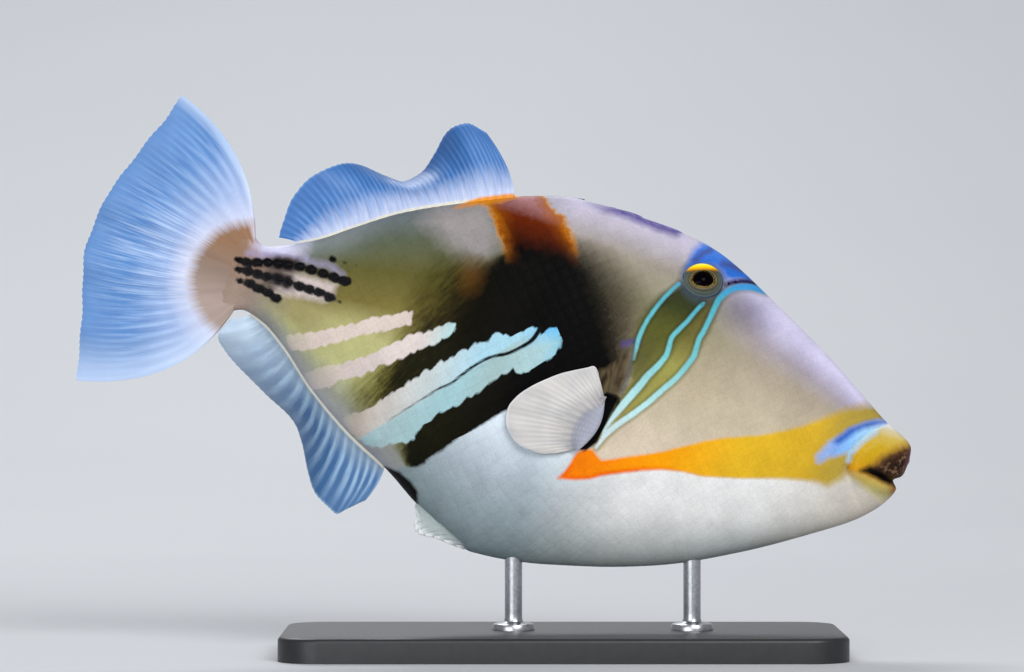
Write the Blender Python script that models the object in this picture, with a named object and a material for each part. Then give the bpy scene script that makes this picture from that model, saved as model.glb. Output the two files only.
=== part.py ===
"""A life-size still model of a picasso triggerfish (Rhinecanthus aculeatus) on a plain display stand.

The fish is drawn in its own frame, in millimetres: a station is the distance behind the snout, a height is
measured from the body's axis, +Y is the fish's left side. The frame is then pitched nose down and set above
the stand's base. Every solid is closed and keeps 0.3 mm from its neighbours.
"""

import math

import bmesh
import bpy
import numpy as np
from mathutils import Matrix, Vector
from mathutils.bvhtree import BVHTree

MM = 0.001
GAP = 0.3  # between touching solids

# ---------------------------------------------------------------- driving sizes, millimetres
TOTAL_LENGTH = 240.0  # snout to the tail fin's tips, as it lies, end to end
PITCH = math.radians(16.6)  # nose down
SNOUT_X = TOTAL_LENGTH / 2 - 0.6  # in the world, forward of the origin
SNOUT_Z = 56.7  # above the floor
STALK_END = 198.5  # station where the tail fin starts
BODY_SIDES = 36  # points round each ring of the body
LIPS_END, MOST_RING_STEP = 19.0, 5.5  # rings are set closer as far back as the lips' crease, and at the tail
WIDEST = 0.48  # share of the depth, from the belly, where the body is widest

# station, height of the back's and the belly's outline
BACK_LINE = [(0, -0.6), (0.4, 2.0), (1.6, 3.5), (3.5, 4.7), (6.2, 6.0), (9.7, 7.6), (15.2, 11.0), (29.9, 20.3),
             (51.2, 31.8), (61.9, 37.3), (68.5, 40.0), (75, 41.7), (90.5, 43.5), (99.6, 44.2), (108.5, 43.9),
             (117.1, 42.5), (128, 39.3), (141.3, 33.8), (159.6, 25.0), (171.9, 16.7), (179.3, 11.4), (184.4, 8.6),
             (190, 6.0), (194.2, 4.8), (198.5, 7.4)]
BELLY_LINE = [(0, -2.6), (0.4, -5.8), (1.0, -8.9), (1.7, -11.6), (2.7, -13.9), (6.4, -18.7), (11, -22.8),
              (18.5, -27.9), (38.7, -40.2), (59.6, -50.3), (81.4, -57.1), (103.9, -61.6), (112.6, -62.1),
              (118.5, -60.0), (131, -53.6), (142.8, -46.2), (155, -40.1), (169.8, -30.4), (181, -20.9),
              (188.4, -16.2), (194.4, -14.5), (198.5, -16.2)]
HALF_WIDTH = [(0, 1.2), (0.4, 2.7), (1.0, 3.7), (2, 4.7), (3.5, 5.5), (6, 6.2), (10, 6.9), (16, 7.9), (24, 9.4),
              (45, 13.0), (60, 15.3), (75, 17.2), (90, 18.2), (105, 18.0), (120, 17.0), (135, 15.0), (150, 12.2),
              (165, 9.0), (180, 6.2), (190, 4.7), (198.5, 3.0)]
# how keen the section's edge is: 1 is an ellipse, more is a sharper ridge
BACK_EDGE = [(0, 0.8), (20, 1.0), (60, 1.15), (130, 1.2), (175, 1.0), (198.5, 0.8)]
BELLY_EDGE = [(0, 0.8), (20, 0.95), (70, 1.1), (118, 1.4), (140, 1.25), (175, 1.0), (198.5, 0.8)]

# ---------------------------------------------------------------- head
LIP_CREASE = [(3.5, 16.0), (8.8, 7.2), (14.6, 1.2), (17.0, -3.5), (17.0, -7.6), (15.2, -11.5), (10.5, -17.0),
              (5.0, -23.0)]
LIP_SWELL, LIP_SWELL_AT, LIP_SWELL_SPAN = 0.17, 4.0, 3.2
CREASE_DEPTH, CREASE_SPAN = 0.10, 1.0
GAPE_CORNER, GAPE_FRONT_UP, GAPE_FRONT_LOW = (12.5, -8.05), (3.0, -8.2), (2.7, -9.3)
GAPE_MOUTH_UP, GAPE_MOUTH_LOW = (-2.0, -6.6), (-2.0, -12.0)
EYE_AT = (71.0, 31.3)
EYE_RADIUS, EYE_SUNK = 5.0, 3.5
EYE_OUTWARD = 0.35  # how much more to the side the eye looks than the skin it sits in
LID_RING, LID_THICK, LID_LIFT = 4.7, 0.95, 0.15
NOSTRILS = [(64.0, 33.0), (62.2, 34.0)]
NOSTRIL_RADIUS, NOSTRIL_DEPTH = 0.55, 1.2
GILL_EDGE = [(79.0, 60), (80.4, 40), (86.3, 8), (84.6, -2.5), (84.7, -7.6), (86.2, -15), (87.4, -20.3),
             (90.5, -24.6), (92.5, -36), (90, -75)]
GILL_SLIT_REAR = [(90.5, -24.6), (89.4, -21.8), (88.2, -17), (88.2, -11.2), (88.8, -7.4)]
GILL_SLIT_DEPTH = 3.2

# ---------------------------------------------------------------- trunk and tail stalk
STALK_FRONT = 165.0
TRIGGER_SLOT = (81.5, 112.0)  # stations of the groove that the folded spines lie in
TRIGGER_SLOT_WIDTH, TRIGGER_SLOT_DEPTH = 3.4, 2.6
# each folded spine's first and last station, width and height
TRIGGER_SPINES = [(82.2, 105.0, 2.7, 2.9), (92.0, 109.5, 2.1, 2.3), (100.0, 111.2, 1.6, 2.0)]
SCUTES = [(90.8, -3.0, 2.3), (87.0, -5.0, 1.7), (88.2, 0.8, 2.1), (92.6, 2.2, 2.2), (88.9, 5.6, 1.8),
          (93.6, 6.6, 1.9)]
SCUTE_PROUD, SCUTE_ROOT, SCUTE_SIDES = 0.4, 1.2, 7  # each scute is a station, a height and a radius
# rows of small spines on the stalk: how many, and the line of stations and heights that they follow
STALK_ROWS = [(10, [(169.4, 1.8), (178.5, 2.4), (187.6, 1.3), (196.6, -0.9)]), (9, [(172.0, -4.1), (196.6, -3.7)]),
              (4, [(186.4, -8.4), (196.4, -7.2)])]
SPINE_RADIUS, SPINE_TALL, SPINE_LEAN, SPINE_ROOT, SPINE_SIDES = 1.45, 1.35, 1.1, 1.1, 6

# ---------------------------------------------------------------- fins; a ray's place t runs from 0 to 1
MEMBRANE, RAY_RISE = 0.52, 0.42  # full thickness between rays, and what a ray adds
RAY_RISES_BY = 0.3  # share of its length by which a ray stands out of the fin's fleshy root
EDGE_ROOT_THICK, EDGE_ROOT_REACH = 2.0, 0.2  # the fleshy roots of the back and belly fins
DORSAL_SPAN = (129.2, 183.8)
DORSAL_RAYS = 24
DORSAL_LENGTH = [(0, 20.0), (0.1, 23.0), (0.2, 22.3), (0.35, 20.8), (0.52, 19.6), (0.7, 18.7), (0.8, 17.8),
                 (0.88, 14.8), (0.95, 9.6), (1, 6.0)]
DORSAL_SWEEP = [(0, 40), (0.1, 37), (0.26, 42), (0.43, 56), (0.52, 49), (0.7, 42), (0.85, 51), (0.95, 68), (1, 88)]
DORSAL_LEAN = [(0, 0), (0.14, 6), (0.26, 39), (0.35, 55), (0.43, 58), (0.52, 48), (0.61, 28), (0.7, 10), (0.8, 0),
               (1, 0)]
ANAL_SPAN = (143.2, 191.5)
ANAL_RAYS = 22
ANAL_LENGTH = [(0, 11.0), (0.1, 17.0), (0.19, 21.2), (0.3, 21.3), (0.48, 19.8), (0.67, 17.8), (0.8, 16.4),
               (0.9, 14.3), (0.95, 11.5), (1, 6.0)]
ANAL_SWEEP = [(0, 12), (0.1, 6), (0.2, 2), (0.38, 7), (0.52, 9), (0.62, 24), (0.76, 43), (0.9, 54), (1, 56)]
ANAL_LEAN = [(0, 0), (0.28, 8), (0.38, 29), (0.48, 46), (0.57, 53), (0.67, 45), (0.76, 34), (0.86, 18), (0.95, 0),
             (1, 0)]
RAY_RUN, RAY_BOW = 0.42, 0.16  # where a ray bends, along it and forward of it, as shares of its length

TAIL_RAYS = 12
TAIL_ROOT = (7.0, -15.9)  # heights of the first and last ray's root
TAIL_BOW = (31.0, -41.6)  # heights that the first and last ray head for
TAIL_BOW_STATION, TAIL_BOW_MIDDLE = 204.7, 16.5
TAIL_TIPS = (39.5, -47.5)
TAIL_EDGE = [(-47.5, 235.1), (-36.2, 237.3), (-27.8, 239.2), (-20.9, 241.2), (-9.1, 243.5), (1.6, 242.6),
             (8.4, 241.0), (17.4, 237.7), (25.9, 234.3), (32.0, 231.7), (39.5, 229.4)]
TAIL_SWING, TAIL_RIPPLE, TAIL_RIPPLES = 5.0, 0.9, 4.5
TAIL_ROOT_THICK, TAIL_ROOT_REACH = 5.0, 0.36

PECTORAL_RAYS = 13
PECTORAL_ROOT = ((89.8, -9.9), (91.0, -22.8))
PECTORAL_TIPS = [(94.4, -1.3), (98.7, -4.1), (103.6, -7.6), (108.1, -12.5), (111.3, -18.9), (111.9, -24.2),
                 (109.2, -27.6), (105.6, -28.9), (102.4, -29.0)]
PECTORAL_LIFT, PECTORAL_WAVE, PECTORAL_CLEAR = 4.6, 0.35, 0.55  # off the flank at the tips, and at the root
PECTORAL_ROOT_THICK, PECTORAL_ROOT_REACH = 2.4, 0.45

FLAP_LINE = [(115.5, -61.2), (120.0, -61.6), (126.3, -61.8), (129.6, -60.9), (130.8, -59.2), (130.6, -57.4),
             (131.6, -54.6)]
FLAP_THICK, FLAP_EDGE = 3.0, 1.2

# ---------------------------------------------------------------- stand, in the world frame
BASE_LENGTH, BASE_DEPTH, BASE_THICK = 160.0, 78.0, 7.0
BASE_X = 20.0
BASE_CORNER, BASE_BEVEL = 12.0, 1.2
ROD_X = (6.0, 57.0)
ROD_RADIUS = 2.5
ROD_FOOT_RADIUS, ROD_FOOT_TALL = 6.0, 1.8
ROD_SIDES = 16


class Line:
    """A smooth curve through (x, y) points that never overshoots between them."""

    def __init__(self, points):
        self.x, self.y = (np.array(v, float) for v in zip(*points))
        step = np.diff(self.x)
        rise = np.diff(self.y) / step
        slope = np.zeros(len(self.x))
        slope[0], slope[-1] = rise[0], rise[-1]
        for i in range(1, len(rise)):
            if rise[i - 1] * rise[i] > 0:
                before, after = 2 * step[i] + step[i - 1], step[i] + 2 * step[i - 1]
                slope[i] = (before + after) / (before / rise[i - 1] + after / rise[i])
        self.slope = slope

    def __call__(self, x):
        x = min(max(x, self.x[0]), self.x[-1])
        i = min(int(np.searchsorted(self.x, x, side="right")) - 1, len(self.x) - 2)
        h = self.x[i + 1] - self.x[i]
        t = (x - self.x[i]) / h
        return float((2 * t**3 - 3 * t**2 + 1) * self.y[i] + (t**3 - 2 * t**2 + t) * h * self.slope[i]
                     + (3 * t**2 - 2 * t**3) * self.y[i + 1] + (t**3 - t**2) * h * self.slope[i + 1])


def mix(a, b, t):
    return a + (b - a) * t


def along(points, t):
    """The point at share t of a smooth path through (x, y) points evenly spread in t."""
    n = len(points) - 1
    steps = [i / n for i in range(n + 1)]
    return Line(list(zip(steps, [p[0] for p in points])))(t), Line(list(zip(steps, [p[1] for p in points])))(t)


back, belly, half_width = Line(BACK_LINE), Line(BELLY_LINE), Line(HALF_WIDTH)
back_edge, belly_edge = Line(BACK_EDGE), Line(BELLY_EDGE)
tail_edge = Line(TAIL_EDGE)
# the crease's station for a height, on the side of the snout
crease_station = Line([(height, station) for station, height in reversed(LIP_CREASE)])


def lip_form(station, height):
    """How much wider the snout is than its plain section: it swells at the lips, and draws in at their crease."""
    ahead = crease_station(height) - station
    swell = LIP_SWELL * math.exp(-(((ahead - LIP_SWELL_AT) / LIP_SWELL_SPAN) ** 2))
    return 1 + swell - CREASE_DEPTH * math.exp(-((ahead / CREASE_SPAN) ** 2))


def skin(station, angle):
    """(station, y, height) of the skin; angle 0 is the left flank, a quarter turn up is the back."""
    top, low = back(station), belly(station)
    middle = mix(low, top, WIDEST)
    up = math.sin(angle)
    reach, edge = (top - middle, back_edge(station)) if up > 0 else (middle - low, belly_edge(station))
    height = middle + reach * up
    out = half_width(station) * abs(math.cos(angle)) ** edge * lip_form(station, height)
    return station, math.copysign(out, math.cos(angle)), height


def flank(station, height):
    """The left flank's y at a station and a height."""
    top, low = back(station), belly(station)
    middle = mix(low, top, WIDEST)
    reach = top - middle if height > middle else middle - low
    angle = math.asin(max(-1.0, min(1.0, (height - middle) / reach)))
    return skin(station, angle)[1]


def flank_normal(station, height, step=0.5):
    """The left flank's outward normal, in the fish's frame."""
    ahead = (flank(station - step, height) - flank(station + step, height)) / (2 * step)
    above = (flank(station, height + step) - flank(station, height - step)) / (2 * step)
    return Vector((-ahead, 1, -above)).normalized()


def place(station, y, height):
    """A point of the fish's frame, in metres: +X towards the nose."""
    return Vector((-station, y, height)) * MM


# ---------------------------------------------------------------- mesh helpers
def mesh_object(name, points, faces):
    mesh = bpy.data.meshes.new(name)
    mesh.from_pydata([tuple(p) for p in points], [], faces)
    shape = bpy.data.objects.new(name, mesh)
    bpy.context.scene.collection.objects.link(shape)
    tidy(shape)
    return shape


def tidy(shape, merge=1e-7):
    """Closes seams and turns the faces outwards."""
    work = bmesh.new()
    work.from_mesh(shape.data)
    bmesh.ops.remove_doubles(work, verts=work.verts, dist=merge)
    bmesh.ops.recalc_face_normals(work, faces=work.faces)
    if work.calc_volume(signed=True) < 0:
        bmesh.ops.reverse_faces(work, faces=work.faces)
    work.to_mesh(shape.data)
    work.free()


def combine(shape, tools, operation):
    """Joins or cuts shape with all the tools by one Boolean, applies it and removes the tools."""
    group = bpy.data.collections.new(shape.name + "_tools")
    bpy.context.scene.collection.children.link(group)
    for tool in tools:
        bpy.context.scene.collection.objects.unlink(tool)
        group.objects.link(tool)
    step = shape.modifiers.new(operation, "BOOLEAN")
    step.operation, step.solver = operation, "EXACT"
    step.operand_type, step.collection = "COLLECTION", group
    with bpy.context.temp_override(object=shape, active_object=shape, selected_objects=[shape]):
        bpy.ops.object.modifier_apply(modifier=step.name)
    for tool in tools:
        bpy.data.objects.remove(tool)
    bpy.data.collections.remove(group)


def islands(work):
    """The face lists of a bmesh's separate surfaces, largest first."""
    seen, found = set(), []
    for seed in work.faces:
        if seed in seen:
            continue
        seen.add(seed)
        island = [seed]
        for face in island:
            for edge in face.edges:
                fresh = [other for other in edge.link_faces if other not in seen]
                seen.update(fresh)
                island += fresh
        found.append(island)
    return sorted(found, key=len, reverse=True)


def split_solids(shape):
    """Each separate surface of shape as a new object. The shape itself is removed."""
    work = bmesh.new()
    work.from_mesh(shape.data)
    pieces = []
    for island in islands(work):
        corners = {}
        for face in island:
            for corner in face.verts:
                corners.setdefault(corner, len(corners))
        pieces.append(([v.co.copy() for v in corners], [[corners[v] for v in face.verts] for face in island]))
    work.free()
    bpy.data.objects.remove(shape)
    return [mesh_object("solid", points, faces) for points, faces in pieces]


def keep_largest(shape):
    """Drops every surface of shape but the largest."""
    work = bmesh.new()
    work.from_mesh(shape.data)
    spare = [face for island in islands(work)[1:] for face in island]
    bmesh.ops.delete(work, geom=spare, context="FACES")
    loose = [corner for corner in work.verts if not corner.link_faces]
    bmesh.ops.delete(work, geom=loose, context="VERTS")
    work.to_mesh(shape.data)
    work.free()


def finish(shape, name, colour, roughness, metallic=0.0, sharp=40):
    """Names a solid, gives it its own material and smooths it."""
    shape.name = shape.data.name = name
    material = bpy.data.materials.new(name)
    material.use_nodes = True
    surface = material.node_tree.nodes["Principled BSDF"]
    surface.inputs["Base Color"].default_value = (*colour, 1)
    surface.inputs["Roughness"].default_value = roughness
    surface.inputs["Metallic"].default_value = metallic
    shape.data.materials.clear()
    shape.data.materials.append(material)
    shape.data.shade_smooth()
    shape.data.set_sharp_from_angle(angle=math.radians(sharp))
    return shape


def prism(name, outline, y_from, y_to):
    """A closed prism: an outline of (station, height) points, extruded across the fish."""
    count = len(outline)
    points = [place(s, y, h) for y in (y_from, y_to) for s, h in outline]
    sides = [[i, (i + 1) % count, count + (i + 1) % count, count + i] for i in range(count)]
    return mesh_object(name, points, [list(range(count)), list(range(count, 2 * count))] + sides)


def parting(name, line, reach=60.0):
    """A cutter GAP thin, across the whole body, that follows a line of (station, height) points."""
    ways = [(Vector(b) - Vector(a)).normalized() for a, b in zip(line, line[1:])]
    left, right = [], []
    for i, point in enumerate(line):
        before, after = ways[max(i - 1, 0)], ways[min(i, len(ways) - 1)]
        way = (before + after).normalized()
        side = Vector((-way.y, way.x)) * (GAP / 2 / way.dot(before))
        left.append(Vector(point) + side)
        right.append(Vector(point) - side)
    return prism(name, left + right[::-1], -reach, reach)


def lofted(name, rings, front=None, rear=None):
    """A closed loft through rings of points, with a point or a flat face at each end."""
    count = len(rings[0])
    points = [p for ring in rings for p in ring]
    faces = []
    for r in range(len(rings) - 1):
        for i in range(count):
            j = (i + 1) % count
            faces.append([r * count + i, r * count + j, (r + 1) * count + j, (r + 1) * count + i])
    for end, first in ((front, 0), (rear, (len(rings) - 1) * count)):
        if end is None:
            faces.append([first + i for i in range(count)])
        else:
            points.append(end)
            faces += [[first + i, first + (i + 1) % count, len(points) - 1] for i in range(count)]
    return mesh_object(name, points, faces)


def ridge_height(line, station):
    """The height of the body's faceted ridge: straight between the stations of its rings."""
    stations = body_stations()
    i = max(1, min(len(stations) - 1, int(np.searchsorted(stations, station))))
    before, after = stations[i - 1], stations[i]
    return mix(line(before), line(after), (station - before) / (after - before))


# ---------------------------------------------------------------- body
def body_stations():
    """Ring stations: close together at the lips, where the form turns fastest."""
    stations = [0.35, 1.0, 1.7, 2.7, 4.0]
    while stations[-1] < STALK_END:
        here = stations[-1]
        ahead, behind = 1.4 + max(0, here - LIPS_END) * 0.25, 1.6 + (STALK_END - here) * 0.16
        stations.append(min(here + min(ahead, behind, MOST_RING_STEP), STALK_END))
    return stations


def whole_body():
    rings = []
    for station in body_stations():
        turns = [2 * math.pi * i / BODY_SIDES for i in range(BODY_SIDES)]
        rings.append([place(*skin(station, turn)) for turn in turns])
    return lofted("body", rings, front=place(-0.2, 0, -1.7))


def aimed(shape, centre, direction):
    """Places a shape, made along +Z at the origin, at a point of the fish's frame and aims it."""
    turn = direction.to_track_quat("Z", "Y").to_matrix().to_4x4()
    shape.data.transform(Matrix.Translation(centre) @ turn)
    return shape


def circle(sides, radius, z=0.0):
    """Points round the Z axis, in metres."""
    turns = [2 * math.pi * i / sides for i in range(sides)]
    return [Vector((radius * math.cos(turn), radius * math.sin(turn), z)) * MM for turn in turns]


def ball(name, radius, segments=18, rings=9):
    work = bmesh.new()
    bmesh.ops.create_uvsphere(work, u_segments=segments, v_segments=rings, radius=radius * MM)
    mesh = bpy.data.meshes.new(name)
    work.to_mesh(mesh)
    work.free()
    shape = bpy.data.objects.new(name, mesh)
    bpy.context.scene.collection.objects.link(shape)
    return shape


def hoop(name, radius, thick, segments=20, sides=7):
    """A ring of round section in the XY plane."""
    points = []
    for way in circle(segments, 1.0 / MM):
        for section in circle(sides, thick):
            points.append(way * (radius * MM + section.x) + Vector((0, 0, section.y)))
    faces = []
    for i in range(segments):
        here, following = i * sides, (i + 1) % segments * sides
        for k in range(sides):
            beside = (k + 1) % sides
            faces.append([here + k, here + beside, following + beside, following + k])
    return mesh_object(name, points, faces)


def spine(radius, tall):
    """A small spine along +Z, its root sunk below the origin."""
    low = circle(SPINE_SIDES, radius, -SPINE_ROOT)
    tip = Vector((0, 0, tall)) * MM
    faces = [[i, (i + 1) % SPINE_SIDES, SPINE_SIDES] for i in range(SPINE_SIDES)] + [list(range(SPINE_SIDES))]
    return mesh_object("spine", low + [tip], faces)


def scute(radius):
    """A low domed plate along +Z, its root sunk below the origin."""
    rings = [(radius, -SCUTE_ROOT), (radius, SCUTE_PROUD * 0.45), (radius * 0.72, SCUTE_PROUD)]
    return lofted("scute", [circle(SCUTE_SIDES, *ring) for ring in rings])


def on_flank(station, height, side, step=0.5):
    """A point of the skin and its outward way; side is 1 for the left flank and -1 for the right."""
    way = flank_normal(station, height, step)
    return place(station, side * flank(station, height), height), Vector((way.x, side * way.y, way.z))


def eye_frame(side):
    """The skin's point at the eye and the way the eye looks."""
    at, way = on_flank(*EYE_AT, side, step=1.5)
    return at, (way + Vector((0, side * EYE_OUTWARD, 0))).normalized()


def lid(side):
    at, look = eye_frame(side)
    return aimed(hoop("lid", LID_RING, LID_THICK), at + look * LID_LIFT * MM, look)


def eyeball(side, grow=0.0):
    at, look = eye_frame(side)
    return aimed(ball("eye", EYE_RADIUS + grow), at - look * EYE_SUNK * MM, look)


def nostril_cutters(side):
    cutters = []
    for nostril in NOSTRILS:
        tube = lofted("nostril", [circle(8, NOSTRIL_RADIUS, z) for z in (-NOSTRIL_DEPTH, NOSTRIL_DEPTH)])
        cutters.append(aimed(tube, *on_flank(*nostril, side)))
    return cutters


def gill_slit_cutter(side):
    """The open gill slit behind the gill cover's edge. Its floor is GILL_SLIT_DEPTH below the flank."""
    low, high = GILL_SLIT_REAR[0], GILL_SLIT_REAR[-1]
    front = [point for point in GILL_EDGE if low[1] < point[1] <= high[1]]
    floor = flank(88.0, -15.0) - GILL_SLIT_DEPTH
    near, far = sorted((floor * side, (floor + 20) * side))
    return prism("gill_slit", front + GILL_SLIT_REAR, near, far)


def trigger_slot_cutter():
    """The groove along the nape that takes the folded spines."""
    start, end = TRIGGER_SLOT
    stations = [mix(start, end, i / 8) for i in range(9)]
    floor = [(s, back(s) - TRIGGER_SLOT_DEPTH) for s in stations]
    roof = [(s, back(s) + 4) for s in reversed(stations)]
    return prism("slot", floor + roof, -TRIGGER_SLOT_WIDTH / 2, TRIGGER_SLOT_WIDTH / 2)


def gape_cutter():
    """The line of the mouth: a wedge that opens towards the front."""
    return prism("gape", [GAPE_CORNER, GAPE_FRONT_UP, GAPE_MOUTH_UP, GAPE_MOUTH_LOW, GAPE_FRONT_LOW], -30, 30)


def body_nodes():
    """The whole body, with its lids, parted by thin cuts into head, lips, trunk and tail stalk."""
    body = whole_body()
    combine(body, [lid(1), lid(-1)], "UNION")
    corner = GAPE_CORNER[1]
    cutters = [parting("gill_edge", GILL_EDGE), parting("lip_crease", LIP_CREASE),
               parting("stalk_front", [(STALK_FRONT, 60), (STALK_FRONT, -70)]),
               parting("mouth_corner", [(11.5, corner), (18.0, corner + 0.4)]),
               gape_cutter(), trigger_slot_cutter()]
    for side in (1, -1):
        cutters += [eyeball(side, GAP), gill_slit_cutter(side), *nostril_cutters(side)]
    combine(body, cutters, "DIFFERENCE")
    found = {}
    for solid in split_solids(body):
        corners = [corner.co / MM for corner in solid.data.vertices]
        station = -sum(corner.x for corner in corners) / len(corners)
        height = sum(corner.z for corner in corners) / len(corners)
        if station > STALK_FRONT:
            name = "tail_stalk"
        elif station > GILL_EDGE[-1][0]:
            name = "trunk"
        elif station > LIP_CREASE[3][0]:
            name = "head"
        else:
            name = "lip_upper" if height > corner else "lip_lower"
        found[name] = solid
    return found


def stalk_spines():
    """Three rows of small spines on each side of the tail stalk, largest mid-row, their tips forward."""
    spines = []
    for count, line in STALK_ROWS:
        for i in range(count):
            station, height = along(line, i / (count - 1))
            size = 0.82 + 0.18 * math.sin(math.pi * (i + 0.5) / count)
            for side in (1, -1):
                thorn = aimed(spine(SPINE_RADIUS * size, SPINE_TALL * size), *on_flank(station, height, side))
                thorn.data.vertices[-1].co.x += SPINE_LEAN * size * MM
                spines.append(thorn)
    return spines


def scutes():
    """Enlarged plates behind the gill slit."""
    return [aimed(scute(radius), *on_flank(station, height, side))
            for station, height, radius in SCUTES for side in (1, -1)]


# ---------------------------------------------------------------- fins
def fin(name, centre, thick, columns, rows):
    """A closed fin. centre(t, r) is a point in millimetres, (station, y, height), at share t across the rays and r
    out along them, and thick(t, r) its full thickness. Both faces are split into triangles alike."""
    grid = [[Vector(centre(c / columns, r / rows)) for r in range(rows + 1)] for c in range(columns + 1)]
    faces_out = [[], []]
    for c in range(columns + 1):
        for r in range(rows + 1):
            across = grid[min(c + 1, columns)][r] - grid[max(c - 1, 0)][r]
            outward = grid[c][min(r + 1, rows)] - grid[c][max(r - 1, 0)]
            normal = across.cross(outward).normalized() * (thick(c / columns, r / rows) / 2)
            for face, way in enumerate((normal, -normal)):
                faces_out[face].append(place(*(grid[c][r] + way)))
    count = rows + 1
    points = faces_out[0] + faces_out[1]
    shift = len(faces_out[0])
    faces = []
    for c in range(columns):
        for r in range(rows):
            a, b = c * count + r, (c + 1) * count + r
            pair = [[a, b, b + 1], [a, b + 1, a + 1]] if (c + r) % 2 else [[a, b, a + 1], [b, b + 1, a + 1]]
            faces += pair + [[shift + i for i in reversed(face)] for face in pair]
    rim = [c * count for c in range(columns)] + [columns * count + r for r in range(rows)]
    rim += [c * count + rows for c in range(columns, 0, -1)] + list(range(rows, 0, -1))
    for i, a in enumerate(rim):
        b = rim[(i + 1) % len(rim)]
        faces += [[a, b, shift + b], [a, shift + b, shift + a]]
    return mesh_object(name, points, faces)


def fin_thickness(t, r, rays, root, root_reach, forked=False):
    """A fleshy root, then membrane with raised rays that sink away at the tips; forked rays split on their way."""
    flesh = root * max(0.0, 1 - r / root_reach) ** 1.5
    rise = RAY_RISE * min(1.0, 0.3 + r / RAY_RISES_BY) * (1 - 0.6 * r)
    turn = 2 * math.pi * t * (rays - 1)
    one, two = 0.5 + 0.5 * math.cos(turn), 0.5 - 0.5 * math.cos(2 * turn)
    split = min(1.0, max(0.0, (r - 0.35) / 0.3)) if forked else 0.0
    return MEMBRANE + flesh + rise * mix(one, two, split)


def edge_fin(name, span, rays, line, up, length, sweep, lean, rows):
    """A fin of swept rays on the back (up 1) or the belly (up -1). Each ray leaves the body upright, bows and leans
    over sideways by its own angle."""
    length, sweep, lean = Line(length), Line(sweep), Line(lean)

    def centre(t, r):
        station = mix(*span, t)
        root = Vector((station, 0, ridge_height(line, station) + up * GAP))
        swept, leant = math.radians(sweep(t)), math.radians(lean(t))
        flat = Vector((math.sin(swept), 0, up * math.cos(swept)))
        ahead = Vector((-math.cos(swept), 0, up * math.sin(swept)))
        bend = root + (flat * RAY_RUN + ahead * RAY_BOW) * length(t)
        tip = root + (flat * math.cos(leant) + Vector((0, math.sin(leant), 0))) * length(t)
        return root * (1 - r) ** 2 + bend * 2 * r * (1 - r) + tip * r**2

    def thick(t, r):
        return fin_thickness(t, r, rays, EDGE_ROOT_THICK, EDGE_ROOT_REACH)

    return fin(name, centre, thick, (rays - 1) * 2, rows)


def tail_fin():
    rays = TAIL_RAYS + 1

    def centre(t, r):
        root = Vector((STALK_END + GAP, 0, mix(*TAIL_ROOT, t)))
        bow = Vector((TAIL_BOW_STATION + TAIL_BOW_MIDDLE * math.sin(math.pi * t), 0, mix(*TAIL_BOW, t)))
        tip_height = mix(*TAIL_TIPS, t)
        tip = Vector((tail_edge(tip_height), 0, tip_height))
        point = root * (1 - r) ** 2 + bow * 2 * r * (1 - r) + tip * r**2
        out = (point.x - STALK_END) / (TAIL_EDGE[4][1] - STALK_END)
        swing = TAIL_SWING * out**2 + TAIL_RIPPLE * out * math.sin(2 * math.pi * TAIL_RIPPLES * t)
        return point + Vector((0, swing, 0))

    def thick(t, r):
        thinner_rim = 1 - 0.45 * abs(2 * t - 1) ** 6
        flesh = (TAIL_ROOT_THICK - MEMBRANE - RAY_RISE) * thinner_rim
        return fin_thickness(t, r, rays, flesh, TAIL_ROOT_REACH, forked=True)

    return fin("tail_fin", centre, thick, TAIL_RAYS * 4, 6)


def pectoral_fin(name, side):
    def centre(t, r):
        (top_s, top_h), (low_s, low_h) = PECTORAL_ROOT
        root = Vector((mix(top_s, low_s, t), mix(top_h, low_h, t)))
        tip = Vector(along(PECTORAL_TIPS, t))
        station, height = root.lerp(tip, r)
        lift = PECTORAL_LIFT * r**1.2 * (0.55 + 0.45 * math.sin(math.pi * t))
        wave = PECTORAL_WAVE * r * math.sin(5.4 * math.pi * t)
        off = PECTORAL_CLEAR + PECTORAL_ROOT_THICK / 2 + lift + wave
        return station, side * (flank(station, height) + off), height

    def thick(t, r):
        flesh = PECTORAL_ROOT_THICK - MEMBRANE - RAY_RISE
        return fin_thickness(t, r, PECTORAL_RAYS, flesh, PECTORAL_ROOT_REACH)

    return fin(name, centre, thick, (PECTORAL_RAYS - 1) * 2, 4)


def trigger_spines():
    """The first back fin, folded down: three stout tapered spines one behind another in their groove."""
    def folded(start, end, wide, tall, steps=7):
        rings = []
        for i in range(steps + 1):
            station = mix(start, end, i / steps)
            narrow, low = mix(1.0, 0.35, i / steps) * (1 - 0.1 * (i % 2)), mix(1.0, 0.55, i / steps)
            middle = back(station) - TRIGGER_SLOT_DEPTH + GAP + tall / 2 * low
            rings.append([place(station, wide / 2 * narrow * point.x, middle + tall / 2 * low * point.y)
                          for point in circle(8, 1.0 / MM)])
        return lofted("folded_spine", rings)

    first, second, third = [folded(*spine) for spine in TRIGGER_SPINES]
    combine(first, [second, third], "UNION")
    return first


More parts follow.
